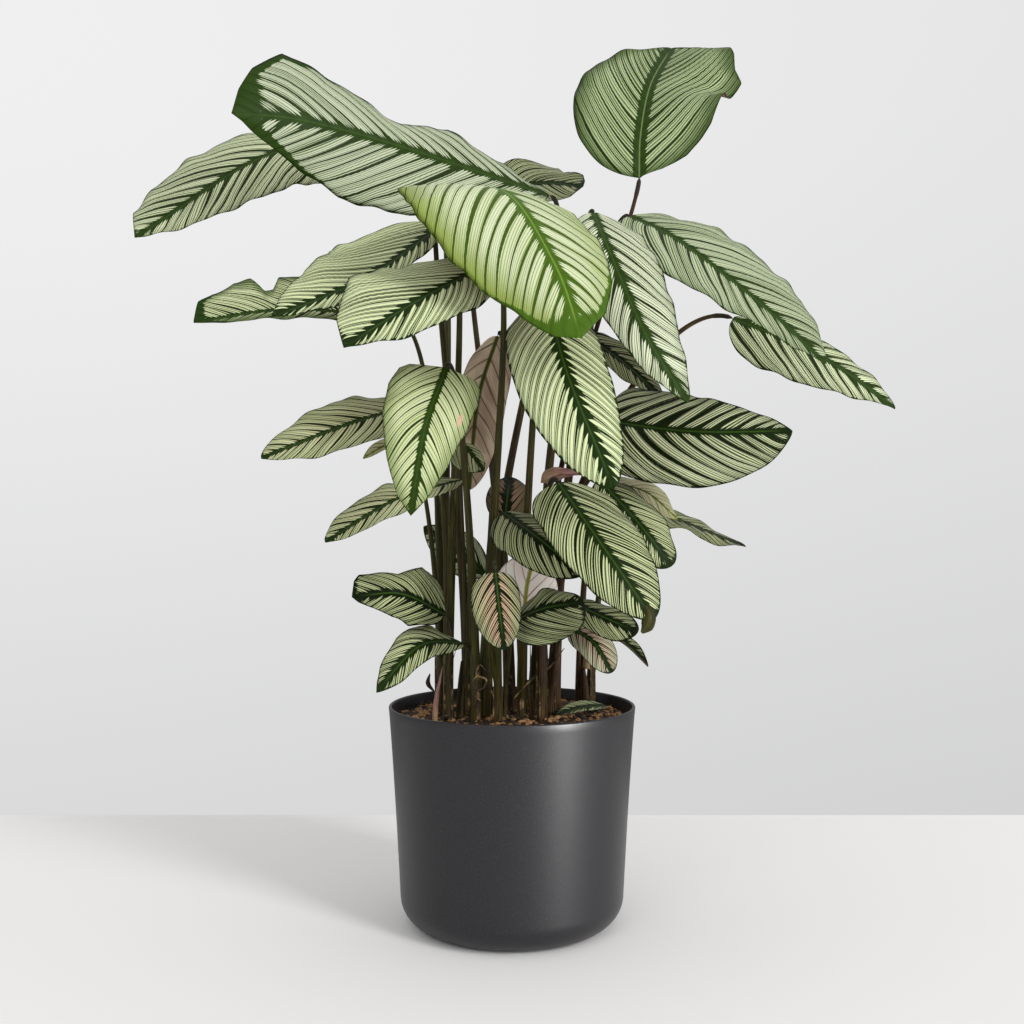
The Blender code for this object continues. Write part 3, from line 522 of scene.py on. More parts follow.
def blade_surface(shape, seed):
    """Middle surface, its normals and the numbers for the material, all on the grid (u, v)."""
    rows, columns = SMALL_BLADE if max(shape["halves"]) <= SMALL_BLADE_WIDTH else LARGE_BLADE
    x = np.linspace(0, 1, rows)
    u = (0.55 * x + 0.45 * (0.5 - 0.5 * np.cos(math.pi * x)))[:, None]
    v = np.linspace(-1, 1, columns)[None, :]
    v = np.sign(v) * np.abs(v) ** 1.4
    spine, length = smooth_curve(shape["spine"], u[:, 0])
    along = unit(np.gradient(spine, axis=0))
    face, face_tip = unit(np.array([shape["face"], shape["face_tip"]], float))
    facing = face + (face_tip - face) * u
    facing = unit(facing - (facing * along).sum(axis=1, keepdims=True) * along)
    across = np.cross(along, facing)
    side = (v[0] > 0).astype(int)
    out = np.abs(v)
    width = np.hstack([blade_half(shape, 0, u), blade_half(shape, 1, u)])[:, side]
    turn = np.radians(np.array(shape["curl"], float))[side] * out / 2
    angle = np.radians(np.array(shape["fold"], float))[side] + turn
    reach = width * out * np.sinc(turn / math.pi)
    left_wave, right_wave, count, phase = shape["wave"]
    swell = np.array([left_wave, right_wave], float)[side] * out**2
    lift = swell * np.sin(2 * math.pi * (count * u + phase)) * np.sqrt(np.sin(math.pi * x))[:, None]
    beat = 2 * math.pi * length / RUFFLE_LENGTH * u
    ripple = np.sin(beat + 2 * v + seed) + 0.6 * np.sin(1.7 * beat - v + 2 * seed)
    lift += RUFFLE * out**3 * ripple * eased(width, 0, 20)
    fewest, spacing = STRIPES[{**UPPER_SIDE, **FINISHES[shape["finish"]]}["Per stripe"]]
    vein = vein_place(u, v, width, length, fewest + length / spacing, seed)
    pleat = np.cos(2 * math.pi * vein) * eased(out, 0.03, 0.3) * (1 - eased(out, 0.8, 1))
    lift += PLEAT * pleat * eased(width, 5, 40) + reach * np.sin(angle)
    offset = np.sign(v) * reach * np.cos(angle)
    grid = spine[:, None] + across[:, None] * offset[..., None] + facing[:, None] * lift[..., None]
    normals = unit(np.cross(np.gradient(grid, axis=1), np.gradient(grid, axis=0)))
    normals[[0, -1]] = facing[[0, -1], None]
    numbers = dict(vein=vein, rib=width * out, edge=width * (1 - out), tip=length * (1 - u + 0 * v),
                   across=v + 0 * u, seed=seed + 0 * vein)
    return grid, normals, numbers


def blade_mesh(name, shape, seed):
    """The blade as a flat skin: each ring goes over the upper side from left to right and back
    below. The sheet thins towards its margin, and the midrib stands out below as a round ridge."""
    grid, normals, numbers = blade_surface(shape, seed)
    numbers = {key: table + 0 * grid[..., 0] for key, table in numbers.items()}
    out = np.abs(numbers["across"])
    u = np.linspace(0, 1, len(grid))[:, None]
    half = (BLADE_THICKNESS[0] + BLADE_THICKNESS[1] * (1 - out**4)) / 2
    ridge = np.exp(-(numbers["rib"] / RIB_WIDTH) ** 2)
    rib = (RIB_HEIGHT[0] + (RIB_HEIGHT[1] - RIB_HEIGHT[0]) * u) * ridge
    upper = grid + normals * (half - 0.3 * ridge)[..., None]
    lower = grid - normals * (half + rib)[..., None]
    back = slice(-2, 0, -1)
    rings = np.concatenate([upper, lower[:, back]], axis=1) * MM
    values = {key: np.concatenate([table, table[:, back]], axis=1) for key, table in numbers.items()}
    values["under"] = np.concatenate([0 * out, 1 + 0 * out[:, back]], axis=1)
    values["under"][:, [0, out.shape[1] - 1]] = 0.5
    return skin(name, rings, values)


# %% [markdown]
# ## The stripes
#
# On the upper side a pale sheet is ruled by dark green veins: broad ones, with two or four fine
# ones between each two. Along the midrib lies a dark green band whose edge is feathered,
# because the green runs out along every vein like a comb. Margin and tip are solid green too. A
# painted image of all this would have to be drawn and unwrapped for each leaf. Here it is one node
# group, which compares the stored distances with thresholds, and the thresholds move with the place
# between two veins, which makes the teeth. The same group washes green in from a margin, blushes
# young leaves pink and lays a dry blotch on an old one.


# %% Screen colours to linear ones
def tint(red, green, blue):
    """A colour named by its screen values, 0 to 255, in the linear values that shaders use."""
    screen = np.array([red, green, blue]) / 255
    linear = np.where(screen <= 0.04045, screen / 12.92, ((screen + 0.055) / 1.055) ** 2.4)
    return (*(round(float(c), 4) for c in linear), 1.0)


# %% Veins: masks shared by the upper side and the underside
def vein_masks():
    """From the place in the row of veins to the masks of broad and fine veins and the teeth.
    A vein lies where the fraction of the place is one half; its index gives it a random width."""
    tree, given, result = group(
        "vein masks", {"Vein": 0.0, "Across": 0.0, "Seed": 0.0, "Per stripe": 5.0, "Line width": 1.0},
        dict.fromkeys(("Broad", "Fine", "Teeth", "Stripe"), "NodeSocketFloat"))
    side = calc(tree, "SIGN", given["Across"])
    out = calc(tree, "ABSOLUTE", given["Across"])

    def vein_row(per_broad, salt):
        """How far off the nearest vein of a row is, and that vein's luck, from 0 to 1."""
        place = times(tree, given["Vein"], per_broad)
        gap = calc(tree, "ABSOLUTE", minus(tree, calc(tree, "FRACT", place), 0.5))
        luck = chance(tree, spot(tree, calc(tree, "FLOOR", place), side,
                                 plus(tree, given["Seed"], salt)))
        return gap, luck

    def line(gap, half, soft):
        """1 within a share of the vein's half-width, 0 beyond the half-width."""
        return within(tree, gap, times(tree, half, soft), half)

    broad_gap, broad_luck = vein_row(1.0, 0.0)
    fine_gap, fine_luck = vein_row(given["Per stripe"], 3.0)
    thick = scaled(tree, out, -0.08, 0.155)
    thick = times(tree, thick, scaled(tree, broad_luck, 0.7, 0.6))
    broad = line(broad_gap, times(tree, thick, given["Line width"]), 0.75)
    thin = scaled(tree, fine_luck, 0.10, 0.15)
    fine = line(fine_gap, times(tree, thin, given["Line width"]), 0.65)
    fine = times(tree, fine, scaled(tree, fine_luck, 0.45, 0.7))
    broad_tooth = calc(tree, "POWER", scaled(tree, broad_gap, -2.0, 1.0), 3.0)
    broad_tooth = times(tree, broad_tooth, plus(tree, broad_luck, 0.4))
    fine_tooth = scaled(tree, fine_gap, -2.0, 1.0)
    fine_tooth = times(tree, fine_tooth, scaled(tree, fine_luck, 0.5, 0.35))
    feed(tree, result["Broad"], broad)
    feed(tree, result["Fine"], fine)
    feed(tree, result["Teeth"], plus(tree, broad_tooth, fine_tooth))
    feed(tree, result["Stripe"], fine_luck)
    return tree


VEIN_MASKS = vein_masks()

# %% The upper side
# Widths and reaches are in mm. Teeth: how far the green runs out along the veins. Softness, blush
# and the amounts of fine and broad lines, green edge and blotch are shares. The green edge has
# Left edge added to it on the left half. Line width is a factor. Per stripe is how many lines the
# fine row has to each broad vein; where it is odd, one of them falls on the broad vein itself.
UPPER_SIDE = {
    "Pale": tint(222, 228, 188), "Soft": tint(172, 184, 130), "Green": tint(54, 74, 18),
    "Dark": tint(30, 46, 2), "Deep": tint(40, 64, 8), "Rib line": tint(50, 76, 22),
    "Blush": tint(212, 152, 138), "Blotch colour": tint(214, 182, 150), "Softness": 0.5,
    "Blush amount": 0.0, "Blotch": 0.0, "Fine lines": 0.9, "Broad lines": 1.0, "Per stripe": 5.0,
    "Line width": 1.0, "Rib width": 3.0, "Teeth": 7.0, "Tip length": 5.0, "Margin": 0.45,
    "Green edge": 0.25, "Left edge": 0.0, "Edge reach": 12.0,
}
VEIN_INPUTS = ("Vein", "Across", "Seed", "Line width")
PLACES = ("Vein", "Rib", "Edge", "Tip", "Across", "Seed")
BLOTCH_AT = (96.0, -0.74)       # the blotch's middle: mm from the tip, and place across the blade
BLOTCH_REACH = (8.0, 0.07)      # and how far it reaches, in the same measures


def upper_side():
    """Colour and relief of a blade's upper side. In this order, each over the last, lie the sheet
    with its softer stripes, the blush, the green edge, fine and broad veins, the solid green of
    midrib, tip and margin, the light line on the midrib, and the blotch."""
    tree, given, result = group(
        "blade upper side", {**dict.fromkeys(PLACES, 0.0), **UPPER_SIDE},
        {"Colour": "NodeSocketColor", "Relief": "NodeSocketFloat"})
    veins = use(tree, VEIN_MASKS, {key: given[key] for key in (*VEIN_INPUTS, "Per stripe")})
    out = calc(tree, "ABSOLUTE", given["Across"])
    at = spot(tree, given["Vein"], given["Across"], given["Seed"])
    grain = minus(tree, noise(tree, at, 3.0, 3.0, 0.6), 0.5)
    slow = noise(tree, at, 0.45, 2.0)

    def solid(distance, reach, teeth_share, blur):
        """Where the distance is under the reach, which is longer along each vein."""
        edge = scaled(tree, veins["Teeth"], times(tree, given["Teeth"], teeth_share), reach)
        edge = scaled(tree, grain, 2.0, edge)
        return within(tree, distance, minus(tree, edge, blur), edge)

    by_rib = solid(given["Rib"], given["Rib width"], 1.0, 0.9)
    by_tip = solid(given["Tip"], given["Tip length"], 1.2, 2.0)
    near_tip = within(tree, given["Tip"], 0.0, times(tree, given["Tip length"], 4.0))
    rim = scaled(tree, near_tip, times(tree, given["Tip length"], 0.45), given["Margin"])
    by_margin = solid(given["Edge"], rim, 0.4, 0.8)
    deep = calc(tree, "MAXIMUM", calc(tree, "MAXIMUM", by_rib, by_tip), by_margin)

    softness = scaled(tree, veins["Stripe"], 0.6, times(tree, slow, 0.7))
    softness = times(tree, softness, given["Softness"])
    colour = paint(tree, given["Pale"], given["Soft"], softness)
    off_rib = scaled(tree, slow, -0.8, plus(tree, out, 0.4))
    blush = times(tree, given["Blush amount"], step(tree, off_rib, 0.85, 0.1))
    colour = paint(tree, colour, given["Blush"], blush)
    on_left = calc(tree, "LESS_THAN", given["Across"], 0.0)
    green_edge = times(tree, within(tree, given["Edge"], 0.0, given["Edge reach"]),
                       scaled(tree, on_left, given["Left edge"], given["Green edge"]))
    colour = paint(tree, colour, given["Green"], green_edge)
    colour = paint(tree, colour, given["Green"], times(tree, veins["Fine"], given["Fine lines"]))
    colour = paint(tree, colour, given["Dark"], times(tree, veins["Broad"], given["Broad lines"]))
    shade = times(tree, plus(tree, veins["Broad"], veins["Fine"]), 0.35)
    colour = paint(tree, colour, paint(tree, given["Deep"], given["Dark"], shade), deep)
    rib_line = times(tree, step(tree, given["Rib"], 1.2, 0.4), step(tree, given["Tip"], 4.0, 30.0))
    colour = paint(tree, colour, given["Rib line"], rib_line)
    along = calc(tree, "DIVIDE", minus(tree, given["Tip"], BLOTCH_AT[0]), BLOTCH_REACH[0])
    over = calc(tree, "DIVIDE", minus(tree, given["Across"], BLOTCH_AT[1]), BLOTCH_REACH[1])
    away = calc(tree, "SQRT", plus(tree, times(tree, along, along), times(tree, over, over)))
    blotch = step(tree, scaled(tree, grain, 1.6, away), 1.2, 0.7)
    colour = paint(tree, colour, given["Blotch colour"], times(tree, blotch, given["Blotch"]))
    feed(tree, result["Colour"], colour)
    sunken = scaled(tree, veins["Fine"], 0.4, veins["Broad"])
    feed(tree, result["Relief"], scaled(tree, grain, 0.3, times(tree, sunken, -1.0)))
    return tree


# %% The underside
BELOW = {
    "Sheet": tint(128, 94, 88), "Sheet light": tint(156, 126, 110), "Vein colour": tint(60, 32, 36),
    "Rib colour": tint(74, 78, 40), "Lines": 0.7, "Line width": 0.55,
}


def under_side():
    """Colour of a blade's underside: a matt sheet with thin dark veins and a stout green midrib."""
    tree, given, result = group(
        "blade underside", {**dict.fromkeys(PLACES, 0.0), **BELOW}, {"Colour": "NodeSocketColor"})
    veins = use(tree, VEIN_MASKS, {key: given[key] for key in VEIN_INPUTS})
    at = spot(tree, given["Vein"], given["Across"], given["Seed"])
    patches = step(tree, noise(tree, at, 0.9, 3.0), 0.35, 0.65)
    colour = paint(tree, given["Sheet"], given["Sheet light"], patches)
    colour = paint(tree, colour, given["Vein colour"], times(tree, veins["Fine"], 0.25))
    colour = paint(tree, colour, given["Vein colour"], times(tree, veins["Broad"], given["Lines"]))
    colour = paint(tree, colour, given["Rib colour"], step(tree, given["Rib"], 3.0, 1.0))
    feed(tree, result["Colour"], colour)
    return tree


UPPER, UNDER = upper_side(), under_side()


# %% One material for each way a blade is coloured
def blade_material(name, upper, below):
    """The upper side's and the underside's groups, each with its own values, and the shader. The
    number under is 0 above, 1 below and one half on the margin."""
    new, tree, shader = material(name)
    places = {key: measure(tree, key.lower()) for key in PLACES}
    above = use(tree, UPPER, {**places, **UPPER_SIDE, **upper})
    beneath = use(tree, UNDER, {**places, **BELOW, **below})
    turned = calc(tree, "GREATER_THAN", measure(tree, "under"), 0.5)
    feed(tree, shader.inputs["Base Color"], paint(tree, above["Colour"], beneath["Colour"], turned))
    cloud = noise(tree, spot(tree, places["Vein"], places["Across"], places["Seed"]), 2.0, 2.0)
    gloss = scaled(tree, cloud, 0.12, scaled(tree, turned, 0.2, 0.38))
    feed(tree, shader.inputs["Roughness"], gloss)
    shader.inputs["Specular IOR Level"].default_value = 0.11
    roughen(tree, shader, above["Relief"], 0.0004)
    return new


# What differs from UPPER_SIDE in each colouring, and from BELOW in the two that show their backs.
FINISHES = {
    "crown": {"Pale": tint(206, 214, 186), "Soft": tint(148, 162, 120), "Green": tint(46, 66, 16),
              "Softness": 0.6, "Tip length": 30.0, "Teeth": 10.0, "Rib width": 3.8},
    "high": {"Pale": tint(198, 208, 174), "Soft": tint(146, 162, 118), "Softness": 0.6,
             "Green edge": 0.35},
    "grey": {"Pale": tint(232, 240, 200), "Soft": tint(176, 192, 138), "Dark": tint(26, 40, 4),
             "Line width": 1.2},
    "lime": {"Pale": tint(220, 228, 196), "Soft": tint(188, 202, 146), "Green": tint(128, 148, 40),
             "Dark": tint(64, 88, 10), "Deep": tint(72, 106, 22), "Rib line": tint(112, 142, 50),
             "Green edge": 0.9, "Left edge": -0.45, "Edge reach": 38.0, "Tip length": 20.0,
             "Rib width": 3.6, "Fine lines": 0.75},
    "top": {"Pale": tint(188, 203, 156), "Soft": tint(138, 157, 104), "Green": tint(50, 76, 10),
            "Rib line": tint(104, 126, 74), "Green edge": 0.85, "Edge reach": 26.0, "Rib width": 6.5,
            "Teeth": 5.0, "Per stripe": 3.0, "Line width": 1.35},
    "bright": {"Pale": tint(230, 237, 208), "Softness": 0.35},
    "fresh": {"Pale": tint(222, 230, 186), "Soft": tint(180, 196, 124), "Green": tint(92, 114, 36),
              "Dark": tint(38, 58, 6), "Rib width": 3.0, "Teeth": 3.0, "Green edge": 0.6,
              "Edge reach": 16.0, "Tip length": 4.0, "Softness": 0.6, "Fine lines": 0.6,
              "Per stripe": 3.0, "Blotch": 1.0},
    "clear": {"Pale": tint(230, 241, 190), "Soft": tint(184, 200, 138), "Dark": tint(18, 31, 0),
              "Green": tint(44, 62, 12), "Deep": tint(26, 48, 4), "Fine lines": 0.75, "Softness": 0.4,
              "Per stripe": 2.0, "Line width": 0.9},
    "soft": {"Pale": tint(222, 228, 182), "Soft": tint(172, 184, 116), "Dark": tint(24, 38, 2),
             "Green": tint(58, 74, 18), "Deep": tint(28, 50, 4), "Rib width": 2.0, "Teeth": 3.6,
             "Blush amount": 0.08, "Tip length": 3.0, "Fine lines": 0.65, "Per stripe": 3.0,
             "Line width": 1.2},
    "deep": {"Pale": tint(222, 229, 188), "Dark": tint(14, 26, 0), "Green": tint(32, 50, 6),
             "Deep": tint(22, 42, 2), "Line width": 1.5},
    "dim": {"Pale": tint(218, 226, 176), "Soft": tint(158, 170, 110), "Dark": tint(16, 28, 0),
            "Green": tint(36, 52, 10), "Deep": tint(26, 46, 4), "Per stripe": 3.0, "Line width": 1.35},
    # painted shade: a darker copy of the colouring, for leaves low and inside the clump that sit in shade
    "shade": {"Pale": tint(196, 204, 154), "Soft": tint(134, 146, 92), "Green": tint(24, 36, 4),
              "Dark": tint(8, 14, 0), "Deep": tint(12, 28, 0), "Per stripe": 3.0, "Line width": 1.35},
    "dusky": {"Pale": tint(140, 122, 92), "Soft": tint(94, 90, 58), "Green": tint(36, 36, 12),
              "Dark": tint(12, 14, 0), "Deep": tint(10, 22, 2), "Blush amount": 0.25, "Per stripe": 3.0,
              "Line width": 1.1, "Rib width": 3.5},
    "young": {"Pale": tint(206, 206, 160), "Soft": tint(142, 148, 96), "Green": tint(34, 46, 8),
              "Dark": tint(12, 20, 0), "Deep": tint(12, 34, 2), "Blush amount": 0.6, "Teeth": 3.0,
              "Rib width": 2.2, "Tip length": 3.0, "Per stripe": 3.0, "Line width": 1.3},
    "wavy": {"Pale": tint(220, 228, 182), "Soft": tint(156, 170, 110), "Green": tint(56, 84, 22),
             "Dark": tint(20, 34, 2), "Deep": tint(32, 60, 8), "Green edge": 0.8, "Edge reach": 15.0,
             "Rib width": 2.0, "Teeth": 4.0, "Tip length": 12.0, "Per stripe": 3.0, "Line width": 1.2},
    # painted light: a lighter copy of young, for a small leaf that sits in shade
    "young_painted_light": {"Pale": tint(240, 238, 206), "Soft": tint(190, 190, 140), "Green": tint(50, 60, 14),
             "Dark": tint(26, 34, 6), "Deep": tint(24, 48, 6), "Blush amount": 0.5, "Teeth": 3.0,
             "Rib width": 2.2, "Tip length": 3.0, "Per stripe": 3.0, "Line width": 1.2},
    "cream": {"Pale": tint(230, 228, 194), "Soft": tint(206, 202, 150), "Green": tint(146, 152, 86),
              "Dark": tint(100, 104, 52), "Deep": tint(136, 150, 58), "Broad lines": 0.8,
              "Tip length": 3.0, "Rib width": 1.4, "Teeth": 1.5, "Per stripe": 3.0},
    "pale_back": {},
    "cream_back_painted_light": {},
}
BACKS = {
    "pale_back": {"Sheet": tint(186, 162, 138), "Sheet light": tint(232, 214, 184),
                  "Vein colour": tint(72, 58, 40), "Rib colour": tint(70, 78, 22)},
    # painted light: the underside's real cream colour, lifted to near white to stand in for light shining
    # through the leaf
    "cream_back_painted_light": {"Sheet": tint(250, 238, 226), "Sheet light": tint(254, 250, 240),
                   "Vein colour": tint(140, 112, 106), "Rib colour": tint(138, 142, 56)},
}
BLADE_MATERIALS = {name: blade_material("blade_" + name, upper, BACKS.get(name, {}))
                   for name, upper in FINISHES.items()}
print("blade finishes:", len(BLADE_MATERIALS))

# %% Grow the blades
faces = 0
for number, (name, shape) in enumerate(LEAVES.items()):
    mesh = blade_mesh(name + "_blade", shape, seed=1.7 * number)
    slot = "blade_back" if shape["finish"] in BACKS else "blade"
    place(name + "_blade", mesh, BLADE_MATERIALS[shape["finish"]], slot, name)
    faces += len(mesh.polygons)
print("faces on all blades:", faces)


# %% [markdown]
# ## Stalks and their sheaths
#
# A stalk rises upright from the soil and turns over into its blade's midrib, so a cubic curve with
# an upright start and an end in line with the midrib gives its path. Its lower part is wrapped in a
# sheath, which makes it thicker and ends in a slanting edge. Just under the blade sits the knee,
# the short swollen joint by which the plant turns its leaves. A round section carried along the
# path, with a radius that follows these stations, makes one stalk; a shoot is a few of them.


# %% A tube along a path
def tube_rings(path, radii, sides):
    """Rings across a path: a circle in the plane of two directions square to the path. The first
    is square to the upright plane through the path's ends too, so the section never twists."""
    heading = unit(np.gradient(path, axis=0))
    span = path[-1] - path[0]
    plane = np.array([span[1], -span[0], 0.0])
    if np.linalg.norm(plane) < 0.02 * np.linalg.norm(span):
        plane = np.array([0.0, 1.0, 0.0])
    first = unit(plane - (heading @ plane)[:, None] * heading)
    second = np.cross(heading, first)
    turn = 2 * math.pi * np.arange(sides) / sides
    circle = np.cos(turn)[:, None] * first[:, None] + np.sin(turn)[:, None] * second[:, None]
    return path[:, None] + circle * np.broadcast_to(np.reshape(radii, (len(path), -1, 1)), circle.shape)


def with_ends(path, rings):
    """The rings with one more at either end, drawn together onto the path's end point."""
    return np.concatenate([path[:1, None] + 0 * rings[:1], rings, path[-1:, None] + 0 * rings[:1]])


def cubic(start, pull_start, pull_end, end, t):
    """A Bezier curve read at t."""
    t = t[:, None]
    return ((1 - t)**3 * start + 3 * (1 - t)**2 * t * pull_start + 3 * (1 - t) * t**2 * pull_end
            + t**3 * end)


# %% The shoots' table
# Each shoot: where it leaves the soil (mm), the radius of its sheath (mm), its tone from green (0)
# to maroon (1), and the leaves whose stalks it carries, the thickest stalk first.
SHOOTS = {
    "stalks_left_back": ((-72, 10), 6.2, 0.25, ("leaf_far_left", "leaf_left_wavy", "leaf_curled_tip")),
    "stalks_left": ((-64, -22), 5.1, 0.35, ("leaf_left_upper", "leaf_left_mid", "leaf_base_left")),
    "stalks_left_inner": ((-46, 5), 4.9, 0.5, ("leaf_front_arch", "leaf_left_lower", "leaf_inner_tip")),
    "stalks_left_front": ((-36, -36), 5.2, 0.2, ("leaf_heart", "leaf_base_left_low")),
    "stalks_back_left": ((-30, 32), 5.6, 0.5, ("leaf_crown_left", "leaf_pale_back", "leaf_grey_back")),
    "stalks_centre_left": ((-26, -8), 5.6, 0.35, ("leaf_left_front",)),
    "stalks_back": ((-4, 50), 5.0, 0.6, ("leaf_crown_back",)),
    "stalks_front": ((-14, -42), 4.4, 0.4, ("leaf_centre_low", "leaf_pink_front", "leaf_base_centre")),
    "stalks_centre": ((0, 14), 4.0, 0.6, ("leaf_upright",)),
    "stalks_centre_front": ((10, -22), 5.2, 0.45, ("leaf_centre_hanging", "leaf_pale_low")),
    "stalks_back_right": ((22, 40), 5.6, 0.7, ("leaf_far_right", "leaf_top_right")),
    "stalks_centre_right": ((24, 8), 5.2, 0.5, ("leaf_right_hanging", "leaf_right_inner")),
    "stalks_right_front": ((30, -36), 4.8, 0.75, ("leaf_low_front",)),
    "stalks_right_inner": ((40, 0), 5.4, 0.7, ("leaf_low_right", "leaf_base_right", "leaf_pink_right")),
    "stalks_right": ((45, 24), 5.4, 0.6, ("leaf_right_upper", "leaf_right_large")),
    "stalks_far_right": ((72, 56), 4.8, 0.9, ("leaf_low_pale", "leaf_narrow_right")),
    "stalks_far_right_back": ((84, 66), 4.8, 0.55, ("leaf_low_grey",)),
}
SOIL_TOP = 210.5                # mm
SINK = 6                        # mm by which a stalk reaches into the soil
STALK_TIP_RADIUS = 1.9          # mm, where the stalk meets a large blade
SMALL_STALK_TIP_RADIUS = 1.2    # mm, where it meets a small one
STALK_RISE = 0.45               # how far a stalk keeps upright, as a share of its height
KNEE = 45                       # mm, reach of the bend by which a stalk turns into its blade
SMALL_KNEE = 18                 # mm, the same on a small blade, unless that blade hangs steeply
KNEE_LENGTH = 22                # mm of the stalk that the swollen knee takes up
SMALL_KNEE_LENGTH = 12          # mm, the same under a small blade
STEEP = -0.5                    # upward part of a heading below which a blade hangs steeply
BRANCH_RADIUS = 0.62            # radius of a shoot's further stalks at their foot, of the sheath's
BRANCH_RISE = 8                 # mm by which each further stalk starts higher in the sheath
BRANCH_LEAN = 1.4               # mm by which it starts off-centre, towards its own leaf
STALK_STATIONS, STALK_SIDES = 90, 20


# %% One stalk, with sheath and knee
def stalk_path(shape, foot, t):
    """The stalk's middle line, read at t: it starts SINK below its foot and ends at the blade."""
    (base, ahead), _ = smooth_curve(shape["spine"], np.array([0, 0.04]))
    heading = unit(ahead - base)
    small = max(shape["halves"]) <= SMALL_BLADE_WIDTH
    knee = shape["knee"] or (SMALL_KNEE if small and heading[2] > STEEP else KNEE)
    pull = foot + np.array([0, 0, STALK_RISE * (base[2] - foot[2])])
    path = cubic(foot, pull, base - heading * knee, base, t)
    return np.vstack([foot - np.array([0, 0, SINK]), path])


def stalk_mesh(name, shape, foot, foot_radius, tone, seed):
    """The radius shrinks evenly from the foot to the blade, swells by a fifth over the knee and
    runs out into the midrib. As far as its slanting end the sheath adds a little, and a little
    more along the line of its free edge."""
    t = np.linspace(0, 1, STALK_STATIONS) ** 0.9
    path = stalk_path(shape, foot, t)
    t = np.concatenate([[0], t])
    run = np.concatenate([[0], np.cumsum(np.linalg.norm(np.diff(path, axis=0), axis=1))])
    left = run[-1] - run
    small = max(shape["halves"]) <= SMALL_BLADE_WIDTH
    tip_radius = SMALL_STALK_TIP_RADIUS if small else STALK_TIP_RADIUS
    knee_length = SMALL_KNEE_LENGTH if small else KNEE_LENGTH
    radius = foot_radius + (tip_radius - foot_radius) * t**0.8
    radius = radius * (1 + 0.22 * eased(left, 2, 6) * (1 - eased(left, knee_length - 3, knee_length)))
    radius = radius * (1 - 0.75 * (1 - eased(left, 0, 4)))
    angle = 2 * math.pi * np.arange(STALK_SIDES) / STALK_SIDES
    sheath_end = (0.42 + 0.08 * math.sin(seed)) * run[-1]
    slant = sheath_end * (1 + 0.10 * np.cos(angle + seed))
    wrap = 1 - eased(run[:, None], slant - 6, slant)
    fold = np.exp(-((np.mod(angle + seed, 2 * math.pi) - math.pi) / 0.16) ** 2)
    rings = tube_rings(path, radius[:, None] * (1 + 0.04 * np.sin(3 * angle + seed))
                       + 0.35 * wrap + 0.3 * wrap * fold, STALK_SIDES)
    level = np.ones((len(path), STALK_SIDES))
    values = {"run": run[:, None] * level, "left": left[:, None] * level, "wrap": wrap * level,
              "fold": wrap * fold, "turn": angle * level, "tone": tone * level, "seed": seed * level}
    doubled_ends = [0, *range(len(path)), -1]
    values = {key: table[doubled_ends] for key, table in values.items()}
    return skin(name, with_ends(path, rings) * MM, values)


def along_stalk(tree, run):
    """A place for streaks: round the section by the number turn, and slowly along by the run."""
    turn = measure(tree, "turn")
    return spot(tree, calc(tree, "COSINE", turn), calc(tree, "SINE", turn), run)


def stalk_material():
    """Dark olive green that runs into maroon, streaked lengthwise. The sheath's free edge is a tan
    line, the foot is dry and brown, and the knee is darker and duller than the stalk."""
    new, tree, shader = material("stalk")
    run, left, tone = measure(tree, "run"), measure(tree, "left"), measure(tree, "tone")
    seed, wrap, fold = measure(tree, "seed"), measure(tree, "wrap"), measure(tree, "fold")
    streaks = noise(tree, along_stalk(tree, scaled(tree, run, 0.008, seed)), 4.0, 4.0, 0.6)
    slow = noise(tree, spot(tree, times(tree, run, 0.012), seed), 1.0, 2.0)
    to_maroon = scaled(tree, minus(tree, slow, 0.5), 1.6, tone)
    colour = paint(tree, tint(58, 57, 13), tint(59, 32, 16), step(tree, to_maroon, 0.25, 0.95))
    colour = paint(tree, colour, tint(112, 108, 48), step(tree, streaks, 0.54, 0.8))
    colour = paint(tree, colour, tint(12, 13, 6), step(tree, streaks, 0.5, 0.3))
    colour = paint(tree, colour, tint(146, 124, 88), times(tree, step(tree, fold, 0.35, 0.9), 0.75))
    dry = step(tree, plus(tree, streaks, times(tree, slow, 0.3)), 0.5, 0.75)
    dry = times(tree, step(tree, run, 50.0, 5.0), dry)
    colour = paint(tree, colour, tint(92, 74, 46), times(tree, times(tree, dry, 0.5), wrap))
    knee = times(tree, step(tree, left, 22.0, 16.0), 0.6)
    colour = paint(tree, colour, tint(26, 28, 16), knee)
    feed(tree, shader.inputs["Base Color"], colour)
    feed(tree, shader.inputs["Roughness"], scaled(tree, streaks, 0.3, 0.3))
    shader.inputs["Specular IOR Level"].default_value = 0.22
    roughen(tree, shader, streaks, 0.0006)
    return new


# %% Grow the shoots
STALK = stalk_material()
for number, (name, (spot_mm, sheath_radius, tone, carried)) in enumerate(SHOOTS.items()):
    middle = np.array([*spot_mm, SOIL_TOP], float)
    meshes = []
    for order, leaf_name in enumerate(carried):
        shape = LEAVES[leaf_name]
        away = unit((np.array(shape["spine"][0], float) - middle)[:2]) * (BRANCH_LEAN if order else 0)
        foot = middle + np.array([*away, order * BRANCH_RISE])
        radius = sheath_radius * (BRANCH_RADIUS if order else 1)
        meshes.append(stalk_mesh(leaf_name + "_stalk", shape, foot, radius, tone, number + 2.3 * order))
    place(name + "_stems", joined(name + "_stems", meshes), STALK, "stalk", name)
print("shoots:", len(SHOOTS))


# %% [markdown]
# ## Pot
#
# The pot is turned: one profile swept round the axis. The profile goes from the middle of the base
# round the toe, up the slightly flared wall, over the thin rounded rim and down inside to the
# floor. A Screw modifier would turn it too, but the skin function above already closes rings at
# both poles. The finish is a dark powder coat with fine lighter specks, so the surface needs a
# speckle in colour and a very fine orange-peel relief, at the scale of half a millimetre.

